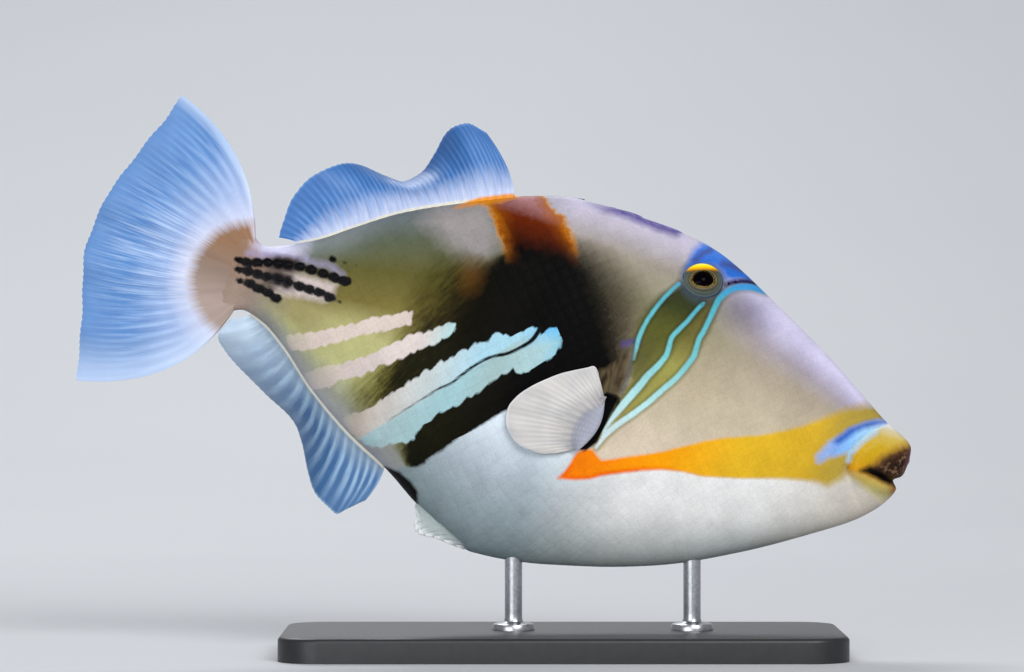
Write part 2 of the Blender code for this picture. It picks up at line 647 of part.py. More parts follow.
def pelvic_flap():
    """The blade of skin behind the belly's lowest point, which ends in a rough bony tip."""
    steps = 10
    rings = []
    for i in range(steps + 1):
        station, low = along(FLAP_LINE, i / steps)
        top_station = mix(FLAP_LINE[0][0] - 1.5, FLAP_LINE[-1][0] - 0.4, i / steps)
        top = ridge_height(belly, top_station) - GAP
        low = min(low, top - 0.8)
        wide, keen = FLAP_THICK / 2 * mix(1.0, 0.55, i / steps), FLAP_EDGE / 2 * mix(1.0, 0.7, i / steps)
        side = wide * (0.8 + 0.1 * (i % 2))
        middle = (top_station + station) / 2, (top + low) / 2
        rings.append([place(top_station, wide, top), place(top_station, -wide, top),
                      place(middle[0], -side, middle[1]), place(station, -keen, low),
                      place(station, keen, low), place(middle[0], side, middle[1])])
    return lofted("pelvic_flap", rings)


# ---------------------------------------------------------------- stand
def rod(name, x, bodies, pose):
    """A rod from the base up to the belly: its top follows the skin, GAP below it."""
    foot = BASE_THICK + GAP
    shoulder = foot + ROD_FOOT_TALL
    profile = [(ROD_FOOT_RADIUS, foot), (ROD_FOOT_RADIUS, shoulder - 0.6), (ROD_FOOT_RADIUS - 0.8, shoulder),
               (ROD_RADIUS, shoulder + 0.2), (ROD_RADIUS, shoulder + 5), (ROD_RADIUS * 0.6, shoulder + 5),
               (ROD_RADIUS * 0.15, shoulder + 5)]
    shape = lofted(name, [circle(ROD_SIDES, *ring) for ring in profile])
    shape.data.transform(Matrix.Translation(Vector((x, 0, 0)) * MM))
    back_to_fish = pose.inverted()
    up = (back_to_fish.to_3x3() @ Vector((0, 0, 1))).normalized()
    trees = [BVHTree.FromObject(body, bpy.context.evaluated_depsgraph_get()) for body in bodies]
    for corner in shape.data.vertices:
        if corner.co.z > (shoulder + 4) * MM:
            hits = [tree.ray_cast(back_to_fish @ corner.co, up) for tree in trees]
            corner.co.z += min(hit[3] for hit in hits if hit[0] is not None) - GAP * MM
    return shape


def stand_base():
    """A flat base with rounded corners and a small bevel round its top."""
    corners = []
    for quarter in range(4):
        turn = quarter * math.pi / 2
        centre = Vector((math.copysign(BASE_LENGTH / 2 - BASE_CORNER, math.cos(turn + math.pi / 4)),
                         math.copysign(BASE_DEPTH / 2 - BASE_CORNER, math.sin(turn + math.pi / 4))))
        for i in range(6):
            way = turn + math.pi / 2 * i / 5
            corners.append((centre, Vector((math.cos(way), math.sin(way)))))

    def ring(inset, z):
        return [Vector((BASE_X + c.x + w.x * (BASE_CORNER - inset), c.y + w.y * (BASE_CORNER - inset), z)) * MM
                for c, w in corners]

    half = BASE_BEVEL * 0.3
    return lofted("stand_base", [ring(half, 0), ring(0, half), ring(0, BASE_THICK - BASE_BEVEL),
                                 ring(half, BASE_THICK - half), ring(BASE_BEVEL, BASE_THICK)])


def main():
    for old in list(bpy.data.objects):
        bpy.data.objects.remove(old)

    pose_empty = bpy.data.objects.new("fish_pose", None)
    bpy.context.scene.collection.objects.link(pose_empty)
    pose_empty.location = Vector((SNOUT_X, 0, SNOUT_Z)) * MM
    pose_empty.rotation_euler = (0, PITCH, 0)
    pose = Matrix.Translation(pose_empty.location) @ Matrix.Rotation(PITCH, 4, "Y")

    fish = body_nodes()
    combine(fish["tail_stalk"], stalk_spines(), "UNION")
    combine(fish["trunk"], scutes(), "UNION")
    for node in fish.values():
        keep_largest(node)
    looks = {"head": (0.62, 0.55, 0.42), "trunk": (0.30, 0.28, 0.12), "tail_stalk": (0.55, 0.42, 0.33),
             "lip_upper": (0.70, 0.48, 0.08), "lip_lower": (0.60, 0.52, 0.25)}
    for name, node in fish.items():
        finish(node, name, looks[name], 0.38)

    for name, side in (("eye_left", 1), ("eye_right", -1)):
        fish[name] = finish(eyeball(side), name, (0.03, 0.03, 0.03), 0.08)
        fish["pectoral_fin_" + name[4:]] = finish(pectoral_fin("fin", side), "pectoral_fin_" + name[4:],
                                                  (0.78, 0.76, 0.74), 0.45)
    fish["dorsal_fin"] = finish(edge_fin("fin", DORSAL_SPAN, DORSAL_RAYS, back, 1, DORSAL_LENGTH, DORSAL_SWEEP,
                                         DORSAL_LEAN, 5), "dorsal_fin", (0.62, 0.72, 0.88), 0.4)
    fish["anal_fin"] = finish(edge_fin("fin", ANAL_SPAN, ANAL_RAYS, belly, -1, ANAL_LENGTH, ANAL_SWEEP,
                                       ANAL_LEAN, 5), "anal_fin", (0.62, 0.72, 0.85), 0.4)
    fish["tail_fin"] = finish(tail_fin(), "tail_fin", (0.60, 0.72, 0.92), 0.4)
    fish["trigger_spines"] = finish(trigger_spines(), "trigger_spines", (0.25, 0.22, 0.50), 0.4)
    fish["pelvic_flap"] = finish(pelvic_flap(), "pelvic_flap", (0.78, 0.80, 0.80), 0.45)
    for node in fish.values():
        node.parent = pose_empty

    for name, x in (("stand_rod_rear", ROD_X[0]), ("stand_rod_front", ROD_X[1])):
        finish(rod(name, x, [fish["trunk"], fish["head"]], pose), name, (0.6, 0.6, 0.62), 0.3, 1.0)
    finish(stand_base(), "stand_base", (0.06, 0.06, 0.07), 0.35)


main()
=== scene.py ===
"""Looks of a life-size still model of a picasso triggerfish on a plain display stand.

The fish is drawn in its own frame, in millimetres: a station is the distance behind the snout, a height is
measured from the body's axis, y is positive on the fish's left. posed() takes such points into the frame of
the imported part, in metres.
"""

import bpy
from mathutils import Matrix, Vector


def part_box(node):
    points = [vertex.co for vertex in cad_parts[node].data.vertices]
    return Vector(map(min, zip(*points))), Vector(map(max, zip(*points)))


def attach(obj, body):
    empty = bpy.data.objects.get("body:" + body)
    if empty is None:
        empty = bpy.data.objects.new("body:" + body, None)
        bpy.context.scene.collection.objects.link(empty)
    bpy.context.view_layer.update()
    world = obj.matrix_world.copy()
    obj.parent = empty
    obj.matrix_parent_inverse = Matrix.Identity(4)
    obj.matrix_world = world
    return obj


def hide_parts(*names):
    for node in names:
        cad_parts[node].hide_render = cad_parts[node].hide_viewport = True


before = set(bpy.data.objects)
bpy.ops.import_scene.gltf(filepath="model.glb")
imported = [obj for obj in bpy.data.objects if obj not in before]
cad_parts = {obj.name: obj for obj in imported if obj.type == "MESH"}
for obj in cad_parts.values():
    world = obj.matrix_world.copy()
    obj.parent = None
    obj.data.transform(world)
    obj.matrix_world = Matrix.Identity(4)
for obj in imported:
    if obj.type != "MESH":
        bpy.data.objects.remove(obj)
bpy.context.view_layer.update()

import math

import bmesh
import bpy
import numpy as np
from mathutils import Matrix, Vector

MM = 0.001
RNG = np.random.default_rng(7)

# ---------------------------------------------------------------- the fish's sizes, millimetres
PITCH = math.radians(16.6)  # nose down
SNOUT_X, SNOUT_Z = 119.4, 56.7
WIDEST = 0.48  # share of the depth, from the belly, where the body is widest

BACK_LINE = [(-0.2, -1.4), (0, -0.6), (0.4, 2.0), (1.6, 3.5), (3.5, 4.7), (6.2, 6.0), (9.7, 7.6),
             (15.2, 11.0), (29.9, 20.3), (51.2, 31.8), (61.9, 37.3), (68.5, 40.0), (75, 41.7),
             (90.5, 43.5), (99.6, 44.2), (108.5, 43.9), (117.1, 42.5), (128, 39.3), (141.3, 33.8),
             (159.6, 25.0), (171.9, 16.7), (179.3, 11.4), (184.4, 8.6), (190, 6.0), (194.2, 4.8),
             (198.5, 7.4), (203, 10.0)]
BELLY_LINE = [(-0.2, -2.0), (0, -2.6), (0.4, -5.8), (1.0, -8.9), (1.7, -11.6), (2.7, -13.9), (6.4, -18.7),
              (11, -22.8), (18.5, -27.9), (38.7, -40.2), (59.6, -50.3), (81.4, -57.1), (103.9, -61.6),
              (112.6, -62.1), (118.5, -60.0), (131, -53.6), (142.8, -46.2), (155, -40.1), (169.8, -30.4),
              (181, -20.9), (188.4, -16.2), (194.4, -14.5), (198.5, -16.2), (203, -19.0)]
HALF_WIDTH = [(-0.2, 0.3), (0, 1.2), (0.4, 2.7), (1.0, 3.7), (2, 4.7), (3.5, 5.5), (6, 6.2), (10, 6.9),
              (16, 7.9), (24, 9.4), (45, 13.0), (60, 15.3), (75, 17.2), (90, 18.2), (105, 18.0),
              (120, 17.0), (135, 15.0), (150, 12.2), (165, 9.0), (180, 6.2), (190, 4.7), (198.5, 3.0),
              (203, 0.9)]
# how keen the section's edge is: 1 is an ellipse, more is a sharper ridge
BACK_EDGE = [(0, 0.8), (20, 1.0), (60, 1.15), (130, 1.2), (175, 1.0), (198.5, 0.8)]
BELLY_EDGE = [(0, 0.8), (20, 0.95), (70, 1.1), (118, 1.4), (140, 1.25), (175, 1.0), (198.5, 0.8)]
LIP_CREASE = [(3.5, 16.0), (8.8, 7.2), (14.6, 1.2), (17.0, -3.5), (17.0, -7.6), (15.2, -11.5),
              (10.5, -17.0), (5.0, -23.0)]
LIP_SWELL, LIP_SWELL_AT, LIP_SWELL_SPAN = 0.17, 4.0, 3.2
CREASE_DEPTH, CREASE_SPAN = 0.13, 0.9
GAPE = [(12.5, -8.05), (3.0, -8.2), (-2.0, -6.6), (-2.0, -12.0), (2.7, -9.3)]
EYE_AT = (71.5, 30.8)
EYE_RADIUS, EYE_SUNK, EYE_OUTWARD = 5.0, 3.5, 0.35
LID_RING, LID_THICK = 4.75, 0.95
NOSTRILS = [(64.1, 32.3), (62.3, 33.3)]
GILL_SLIT = [(86.2, -15), (87.4, -20.3), (90.5, -24.6), (89.4, -21.8), (88.2, -17), (88.2, -11.2),
             (88.8, -7.4), (84.7, -7.6)]
GILL_SLIT_DEPTH = 3.2
TRIGGER_SLOT, TRIGGER_SLOT_WIDTH, TRIGGER_SLOT_DEPTH = (81.5, 112.0), 2.6, 2.3
# each one's ends, width and depth
TRIGGER_SPINES = [(79.5, 105.0, 2.2, 2.3), (92.0, 109.5, 1.8, 2.1), (100.0, 111.2, 1.4, 1.8)]

SKIN_SIDES, SKIN_RINGS = 200, 232
SKIN_CLOSE_RINGS, SKIN_CLOSE_TO = 60, 20.3  # so many rings lie over the snout, up to this station
SKIN_POLES = -0.24, 203.3  # stations of the skin's two ends
SKIN_SUNK = 0.15  # below the part's own surface, which the scales reach


class Line:
    """A smooth curve through (x, y) points that never overshoots between them."""

    def __init__(self, points):
        self.x, self.y = (np.array(v, float) for v in zip(*points))
        step = np.diff(self.x)
        rise = np.diff(self.y) / step
        slope = np.zeros(len(self.x))
        slope[0], slope[-1] = rise[0], rise[-1]
        for i in range(1, len(rise)):
            if rise[i - 1] * rise[i] > 0:
                before, after = 2 * step[i] + step[i - 1], step[i] + 2 * step[i - 1]
                slope[i] = (before + after) / (before / rise[i - 1] + after / rise[i])
        self.slope = slope

    def __call__(self, x):
        x = np.clip(np.asarray(x, float), self.x[0], self.x[-1])
        i = np.clip(np.searchsorted(self.x, x, side="right") - 1, 0, len(self.x) - 2)
        h = self.x[i + 1] - self.x[i]
        t = (x - self.x[i]) / h
        return ((2 * t**3 - 3 * t**2 + 1) * self.y[i] + (t**3 - 2 * t**2 + t) * h * self.slope[i]
                + (3 * t**2 - 2 * t**3) * self.y[i + 1] + (t**3 - t**2) * h * self.slope[i + 1])


def mix(a, b, t):
    return a + (b - a) * t


def ease(x, low, high):
    """0 below low, 1 above high, smooth between."""
    t = np.clip((np.asarray(x, float) - low) / (high - low), 0, 1)
    return t * t * (3 - 2 * t)


def bilinear(table, i, j):
    """A table read at fractional rows i and columns j."""
    a = np.minimum(i.astype(int), table.shape[0] - 2)
    b = np.minimum(j.astype(int), table.shape[1] - 2)
    u, v = i - a, j - b
    return mix(mix(table[a, b], table[a + 1, b], u), mix(table[a, b + 1], table[a + 1, b + 1], u), v)


def along(points, t):
    """Places at shares t of a smooth path through (x, y) points evenly spread in t."""
    steps = np.linspace(0, 1, len(points))
    return tuple(Line(list(zip(steps, values)))(t) for values in zip(*points))


def unit(vectors):
    return vectors / np.maximum(np.linalg.norm(vectors, axis=-1, keepdims=True), 1e-12)


def posed(points):
    """Points (station, y, height) of the fish's frame, in millimetres, in the part's frame, in metres."""
    points = np.asarray(points, float)
    x, y, z = -points[..., 0], points[..., 1], points[..., 2]
    c, s = math.cos(PITCH), math.sin(PITCH)
    return np.stack([SNOUT_X + x * c + z * s, y, SNOUT_Z - x * s + z * c], -1) * MM


def unposed(places):
    """The other way: points of the part's frame, in metres, as (station, y, height), in millimetres."""
    places = np.asarray(places, float) / MM
    x, y, z = places[..., 0] - SNOUT_X, places[..., 1], places[..., 2] - SNOUT_Z
    c, s = math.cos(PITCH), math.sin(PITCH)
    return np.stack([-(x * c - z * s), y, x * s + z * c], -1)


# ---------------------------------------------------------------- the body's surface
back, belly, half_width = Line(BACK_LINE), Line(BELLY_LINE), Line(HALF_WIDTH)
back_edge, belly_edge = Line(BACK_EDGE), Line(BELLY_EDGE)
crease_station = Line([(height, station) for station, height in reversed(LIP_CREASE)])


def section(station, angle):
    """(y, height) of the body; angle 0 is the left flank, a quarter turn up is the back."""
    top, low = back(station), belly(station)
    middle = mix(low, top, WIDEST)
    up = np.sin(angle)
    reach = np.where(up > 0, top - middle, middle - low)
    edge = np.where(up > 0, back_edge(station), belly_edge(station))
    height = middle + reach * up
    ahead = crease_station(height) - station
    lips = 1 + mix(0.25, 1, ease(height, -13, -8)) * (
        LIP_SWELL * np.exp(-(((ahead - LIP_SWELL_AT) / LIP_SWELL_SPAN) ** 2))
        - CREASE_DEPTH * np.exp(-((ahead / CREASE_SPAN) ** 2)))
    return half_width(station) * np.abs(np.cos(angle)) ** edge * lips, height


class Body:
    """The body's surface over a station and a share of the way round the left flank, from belly to back.
    It is read from tables, whose stations lie closest over the snout."""

    SNOUT, HEAD, END = -0.2, 20, 203  # the tables' first station, the last of the close ones, the last

    def __init__(self):
        close = self.SNOUT + (self.HEAD - self.SNOUT) * np.linspace(0, 1, 200) ** 2
        self.stations = np.concatenate([close, np.linspace(self.HEAD, self.END, 368)[1:]])
        self.shares = np.linspace(0, 1, 401)
        angles = np.linspace(-math.pi / 2, math.pi / 2, 1201)
        y, height = section(self.stations[:, None], angles[None, :])
        run = np.hypot(np.diff(y, axis=1), np.diff(height, axis=1)).cumsum(1)
        run = np.concatenate([np.zeros((len(run), 1)), run], 1)
        self.round = run[:, -1]
        self.low = np.array([np.interp(0, angles, one) for one in run])
        self.y = np.array([np.interp(self.shares * one[-1], one, v) for one, v in zip(run, y)])
        self.height = np.array([np.interp(self.shares * one[-1], one, v) for one, v in zip(run, height)])

    def read(self, table, station, share):
        i = np.interp(station, self.stations, np.arange(len(self.stations)))
        return bilinear(table, i, np.clip(share, 0, 1) * (len(self.shares) - 1))

    def at(self, station, share):
        """(station, y, height); a share past either end comes round on the other flank."""
        station, share = np.broadcast_arrays(np.asarray(station, float), np.asarray(share, float))
        crossed = (share > 1) | (share < 0)
        share = np.where(share > 1, 2 - share, np.abs(share))
        y = self.read(self.y, station, share)
        return np.stack([station, np.where(crossed, -y, y), self.read(self.height, station, share)], -1)

    def out(self, station, share):
        """The outward way at a point."""
        ahead = self.at(station - 0.4, share) - self.at(station + 0.4, share)
        above = self.at(station, share + 0.004) - self.at(station, share - 0.004)
        return unit(np.cross(ahead, above))

    def share_of(self, station, height):
        """The share round the flank at which it has this height."""
        station, height = np.broadcast_arrays(np.asarray(station, float), np.asarray(height, float))
        found = []
        for s, h in zip(station.ravel(), height.ravel()):
            heights = self.read(self.height, np.full(len(self.shares), s), self.shares)
            found.append(np.interp(h, heights, self.shares))
        return np.array(found).reshape(station.shape)


body = Body()


def on_flank(station, height, side):
    """A point of the skin and its outward way in the fish's frame. side is 1 on the left, -1 on the right."""
    share = body.share_of(station, height)
    return body.at(station, share) * (1, side, 1), body.out(station, share) * (1, side, 1)


# ---------------------------------------------------------------- where the markings lie
# outlines and centre lines as (station, height), the same on both flanks
BAR_A = [(180.7, -18.1), (168.6, -12.4), (159.3, -6.6), (147.9, -0.9), (147.3, -4.9), (161.4, -12.6),
         (173.9, -20.6), (178.5, -21.3)]
BAR_B = [(134.9, -0.8), (136.1, -0.6), (138.2, -1.8), (142.7, -5.8), (144.2, -6.2), (147.2, -8.1),
         (148.2, -9.6), (153.2, -13.4), (155, -15.4), (164.1, -21.7), (169.9, -24.6), (175.3, -30.5),
         (172.5, -31.5), (168.6, -30.4), (164.4, -28.6), (162.9, -25.8), (156.6, -23), (155.2, -21.2),
         (153.7, -20.5), (152.7, -18.5), (150.1, -17.5), (141.6, -9.5), (139.9, -8.7), (134.7, -3.1),
         (134.5, -1.7)]
# the two joined bars in one: their upper edge from the front, then their lower edge back to it
BARS_BLUE = [(112.4, 4), (113, 4.7), (113.9, 4.5), (118.4, 0.5), (123.4, -0.2), (124.5, -1.3),
             (125.1, -3.2), (126.1, -4.1), (127.5, -4.1), (129.5, -6.8), (130.8, -7.3), (134.5, -11.7),
             (136, -12.3), (137.9, -15.3), (139.3, -15.7), (141.4, -18.7), (143.1, -20.2), (144.1, -22.4),
             (146, -23.3), (147.8, -26.1), (149.2, -27.1), (150.1, -28.7), (153.7, -32.6), (156.7, -33.7),
             (158.4, -35.9), (156.8, -38.3), (153.4, -40.1), (149.2, -41.5), (146, -41), (141.6, -38),
             (139.4, -37.4), (137.5, -35.8), (136.9, -33.3), (132.7, -26.6), (126.8, -21.5), (126, -19.6),
             (124.9, -19.2), (123.8, -18), (119.4, -12.1), (115.7, -8.5), (114.8, -9.1), (113.5, -8.9),
             (111.2, -7.7), (109.3, -4.7), (107.6, -3.9), (105.9, -1.7), (105, 1.4), (105.4, 3.7),
             (106.9, 5.6), (108.5, 6.2), (110.6, 4.5), (111.6, 3)]
BAR_SPLIT = [(111.9, 4.6), (112.9, 1.3), (114.3, -0.6), (118.4, -4.5), (123.6, -7.5), (129.3, -14.1),
             (131.6, -17.4), (133.9, -19.3), (137.5, -23.2), (145.6, -32.6)]
# where the white belly and the orange stripe meet, from the muzzle to the side fin
STRIPE_FOOT = [(20.9, -14.9), (25.4, -14.7), (33.9, -16.4), (44.8, -19.6), (55.9, -22.3), (61.8, -22.6),
               (67.5, -23.7), (72.9, -25.6), (83.4, -30.2), (85.9, -31.9), (89.9, -33.4)]
WHITE_BELLY = [(143.3, -49.3), (138.3, -44.2), (134.7, -43.1), (132.3, -41.2), (131.4, -39.2), (129.1, -37),
               (123.7, -30), (113.1, -18.5), (106.5, -12.7), (92.8, -2.6), (89.5, -10), (89.7, -19),
               (90.8, -25.3), (94.7, -34.5), *STRIPE_FOOT[::-1], (17.8, -12.2), (16.3, -10.2),
               (12.7, -11.5), (2.9, -16.4), (-3.3, -21.1), (42.5, -67.5), (124.6, -92), (142.6, -61.6)]
DARK_OUTER = [(152.2, 2.3), (151, 11.1), (146, 18.6), (139, 20.4), (132, 20.6), (128.4, 23), (125.5, 26.6),
              (119.1, 31), (113.1, 33), (108.5, 33.6), (103, 33.6), (96, 32.4), (87.5, 28.5), (81.5, 21.5),
              (79.5, 13), (80.8, 1), (91, -10.5), (97, -14), (112, -27), (119, -34), (125, -43),
              (130.5, -46.5), (136, -45.5), (143, -39.6), (148, -39), (157, -36), (161.5, -30.5),
              (160.5, -24), (156, -18.5), (152.5, -12.5), (151.5, -5.4)]
DARK_INNER = [(129, 16.5), (126.5, 21.5), (122.5, 25), (116, 26.2), (109.6, 24.6), (105.4, 21.2),
              (99.1, 11.3), (90.3, -0.1), (91.5, -6.5), (119, -30.5), (124.5, -38.5), (129, -43),
              (133.5, -44), (136.8, -41.6), (137.4, -37.6), (136.6, -33), (139, -29.5), (144.5, -25),
              (146.5, -20), (145, -14.5), (140.5, -9), (134, -4), (131.5, 0), (129.5, 9)]
BROWN_BAND = [(141.5, 43.5), (138.3, 36.5), (136.6, 34), (133, 30.8), (131.8, 28.4), (123.2, 16.4),
              (118.5, 6.5), (103.5, 8), (105.5, 22), (107.6, 27.8), (109.1, 30.4), (114.7, 36.9),
              (118.2, 38.1), (123.1, 42.9), (126, 50)]
ORANGE_SLIVER = [(145.2, 30.5), (141.6, 33.9), (139, 35.7), (131.7, 38.9), (127.9, 40), (127.9, 39.1),
                 (133.5, 35.8)]
PALE_SADDLE = [(149.1, 30.1), (135.9, 35.8), (129.5, 24.3), (130.8, 18.8), (135.2, 17.5), (141.1, 19.3),
               (151.9, 24.5)]
CHEEK_LINES = [
    ([(77.8, 28.1), (79.2, 25.8), (81.2, 22.0), (82.8, 17.9), (83.9, 13.9), (84.4, 9.7), (84.2, 3.8)],
     [(3, 0.3), (9, 0.6), (29, 0.5)]),
    ([(69.5, 24.7), (70.9, 22.4), (72.5, 18.7), (74.0, 16.0), (75.6, 12.3), (75.5, 8.6), (76.9, 4.4),
      (79.0, 0.6), (80.5, -3.1), (82.5, -7.4), (84.4, -11.7), (85.8, -15.0), (86.6, -18.6)],
     [(-18, 0.5), (-12, 0.95), (-4, 1.05), (8, 0.7), (26, 0.5)]),
    ([(52.9, 33.3), (56.7, 33.2), (60.1, 32.4), (62.9, 30.9), (64.6, 28.9), (65.8, 26.4), (66.3, 23.3),
      (66.8, 20.2), (67.3, 17.3), (68.0, 14.3), (68.0, 10.3), (69.1, 6.7), (71.0, 2.4), (73.9, -2.1),
      (76.8, -6.7), (79.8, -10.8), (83.7, -15.7), (85.9, -19.5), (87.2, -23.0)],
     [(-23, 0.45), (-16, 0.8), (0, 0.76), (20, 0.68), (31, 0.9)]),
]
CHEEK_OLIVE = [(75.4, 29), (70, 28), (66, 28.8), (66.3, 20.5), (68, 12.1), (71.9, 1.6), (77.3, -7.1),
               (84.2, -15.6), (86.8, -22), (88.2, -20.3), (83.1, -2.1), (85.2, 7.5), (84.9, 15.4),
               (81.6, 22.3)]
BROW = [(76.6, 30.2), (77, 32.4), (76.6, 34.6), (76.8, 36.6), (76.2, 38.7), (74.5, 41.6), (71.3, 42.1),
        (63.1, 39.3), (54.2, 35.5), (56, 34.6), (60.7, 34.1), (64, 33), (65.5, 33.5), (66.9, 35),
        (69, 35.9), (72.1, 35.8), (74.6, 34.3), (75.5, 32.2), (75.7, 30.1)]
BROW_STREAKS = [[(75.1, 35.5), (74.4, 37.2), (73.2, 38.7), (71.6, 40.1)],
                [(67.3, 37.4), (64.8, 37.4), (63.0, 37.3), (61.4, 37.2)]]
BROW_BAND = [(64.9, 31.7), (63.0, 32.9), (60.6, 34.0), (58.0, 34.5), (55.7, 34.5)]
NAPE_VIOLET = [(108.9, 43.0), (104.3, 42.8), (101.2, 43.1), (98.0, 43.1), (95.2, 42.9), (91.5, 42.6),
               (87.7, 42.2), (85.0, 42.2), (82.2, 42.2)]
ORANGE_STRIPE = [(95.2, -34.6), (93.5, -31.4), (92.1, -26.2), (91, -24.7), (88.4, -23.7), (84.6, -26.1),
                 (68.9, -18.8), (58.8, -12.8), (53.6, -10.3), (42.9, -6.2), (37.7, -3.5), (32.6, -0.5),
                 (21.7, 7.8), (17.9, 9.9), (12.5, 11.8), (5.7, 9), (9.5, 1.9), (15.1, -4.2), (17.4, -11.7),
                 *STRIPE_FOOT]
MUZZLE_BLUE = [(26, -9.3), (26.7, -7.5), (24.9, -4.4), (24.3, -2.6), (22.4, -1.1), (19.5, 2.3), (14.8, 5.7),
               (12.3, 7), (9.2, 7.9), (6.9, 6.9), (12.2, 2.8), (13.9, 1), (16.6, -3.7), (17.4, -4.6),
               (18.2, -4), (21, -6.1), (23, -7), (24.9, -9.3)]
MUZZLE_NAVY = [(22.7, -2.3), (19.4, 2.2), (14.8, 5.7), (12.6, 6.8), (9.6, 7.6), (8.1, 7.3), (10.3, 6.8),
               (15.4, 4.1), (17.5, 2.5), (21.3, -2.2)]
LIP_EDGE = [(17.2, -6.2), (17.3, -4.5), (16.5, -2.8), (15.2, -0.4), (13.6, 1.8), (11.9, 3.6)]
MOUTH_BROWN = [(12.8, -8.1), (8, -1.6), (5.7, 0.6), (3.2, 2.4), (0.8, 3.8), (-5, 4.4), (-7.3, -4.4),
               (-1, -10.4), (1, -9.6), (3.9, -9), (6.9, -8.9), (9.5, -8.2)]
# the closed mouth's line, laid black as painted shade
MOUTH_BLACK = [(13.2, -8), (10.8, -6.4), (8.6, -6.3), (6.1, -7), (3.2, -8.2), (1.6, -9.4), (5.4, -9.2),
               (10.6, -8)]
LOWER_LIP = [(16.2, -9.3), (9.5, -8.2), (2.9, -8.8), (0.2, -9.4), (0.2, -11.2), (4.2, -13.9), (7.3, -13.6),
             (14.2, -11.1)]
VENT = [(143.2, -45.7), (139, -45.9), (134.9, -47.4), (132.1, -49.8), (130.6, -53.8), (131.6, -56.5),
        (137, -55.5), (144.5, -50.2)]
GILL_PATCH = [(92.8, -2.1), (90.2, -0.3), (87.8, 3.1), (85.6, 7.5), (84.5, 5.4), (84.1, 0.7), (84, -3.2),
              (84.6, -7.7), (88.1, -8.4), (91.4, -7.3)]
GILL_LINE = [(85.4, 7.6), (84.8, 2.3), (84.3, -2.5), (84.9, -6.6)]
# the gap of the gill opening, laid black as painted shade
GILL_GAP = [(90.3, -9), (88.9, -7.1), (85.2, -7.1), (84.3, -8.4), (86.6, -16.6), (87.3, -21.6), (90, -25.2),
            (92.4, -24.4), (92.5, -21), (91, -16)]
VIOLET_MARK = [(88.0, 7.2), (84.4, 9.1)]
STALK_ROWS = [
    [(200.0, -1.1), (197.4, -1.1), (194.4, -0.4), (191.5, 0.5), (188.7, 1.1), (185.9, 1.6), (182.4, 2.1),
     (179.0, 2.1), (175.5, 2.0), (172.1, 1.9), (168.9, 1.8)],
    [(199.1, -3.9), (196.2, -3.5), (193.5, -3.3), (190.6, -3.4), (187.4, -3.1), (184.5, -3.1),
     (181.0, -3.4), (177.8, -3.4), (174.8, -3.4), (171.8, -3.9)],
    [(197.8, -6.7), (194.8, -6.7), (191.7, -7.3), (189.0, -7.7), (186.3, -8.5)],
]
# the dark spots under the spines, whose first one in each row is small, and four more
SPOTS = ([(s, h, 1.55 if i else 1.0) for row in STALK_ROWS for i, (s, h) in enumerate(row)]
         + [(174.1, 6.8, 1.0), (170.4, 6.7, 0.5), (166.9, 6.9, 0.35), (168.4, -4.3, 0.45)])
STALK_LAVENDER = [[(197.5, 1.5), (194.6, 1.6), (191.5, 2.7), (186.9, 4.0), (182.4, 4.4), (178.7, 4.1),
                   (175.1, 4.6), (172.1, 3.9), (170.1, 3.2)]]
STALK_PALE = [(185.7, -0.5), (183.1, 0.1), (170.9, 0.2), (171, -3.8), (172.7, -5.5), (186.3, -7.2),
              (188.1, -6), (187.7, -4.7), (185.3, -2.8)]
# round marks: station, height and radius
TAIL_FLESH = (194.9, -6.2, 17.0)  # the fleshy root of the tail fin
ORBIT_RING = (*EYE_AT, 6.9)
BAND_STAIN = (134.9, 13.3, 2.4)
# middle, half width and half height
SCUTES = [(90.1, -4.0, 1.5, 3.2), (86.6, -4.2, 1.3, 2.8), (87.6, 1.0, 1.2, 2.4)]
BROW_SHADE = (58, 26, 13, 8)


def to_segments(points, station, height):
    """The least distance from each place to a chain of segments."""
    least = np.full(np.shape(station), 1e9)
    for (ax, ay), (bx, by) in zip(points, points[1:]):
        dx, dy = bx - ax, by - ay
        t = np.clip(((station - ax) * dx + (height - ay) * dy) / max(dx * dx + dy * dy, 1e-9), 0, 1)
        least = np.minimum(least, np.hypot(station - ax - t * dx, height - ay - t * dy))
    return least


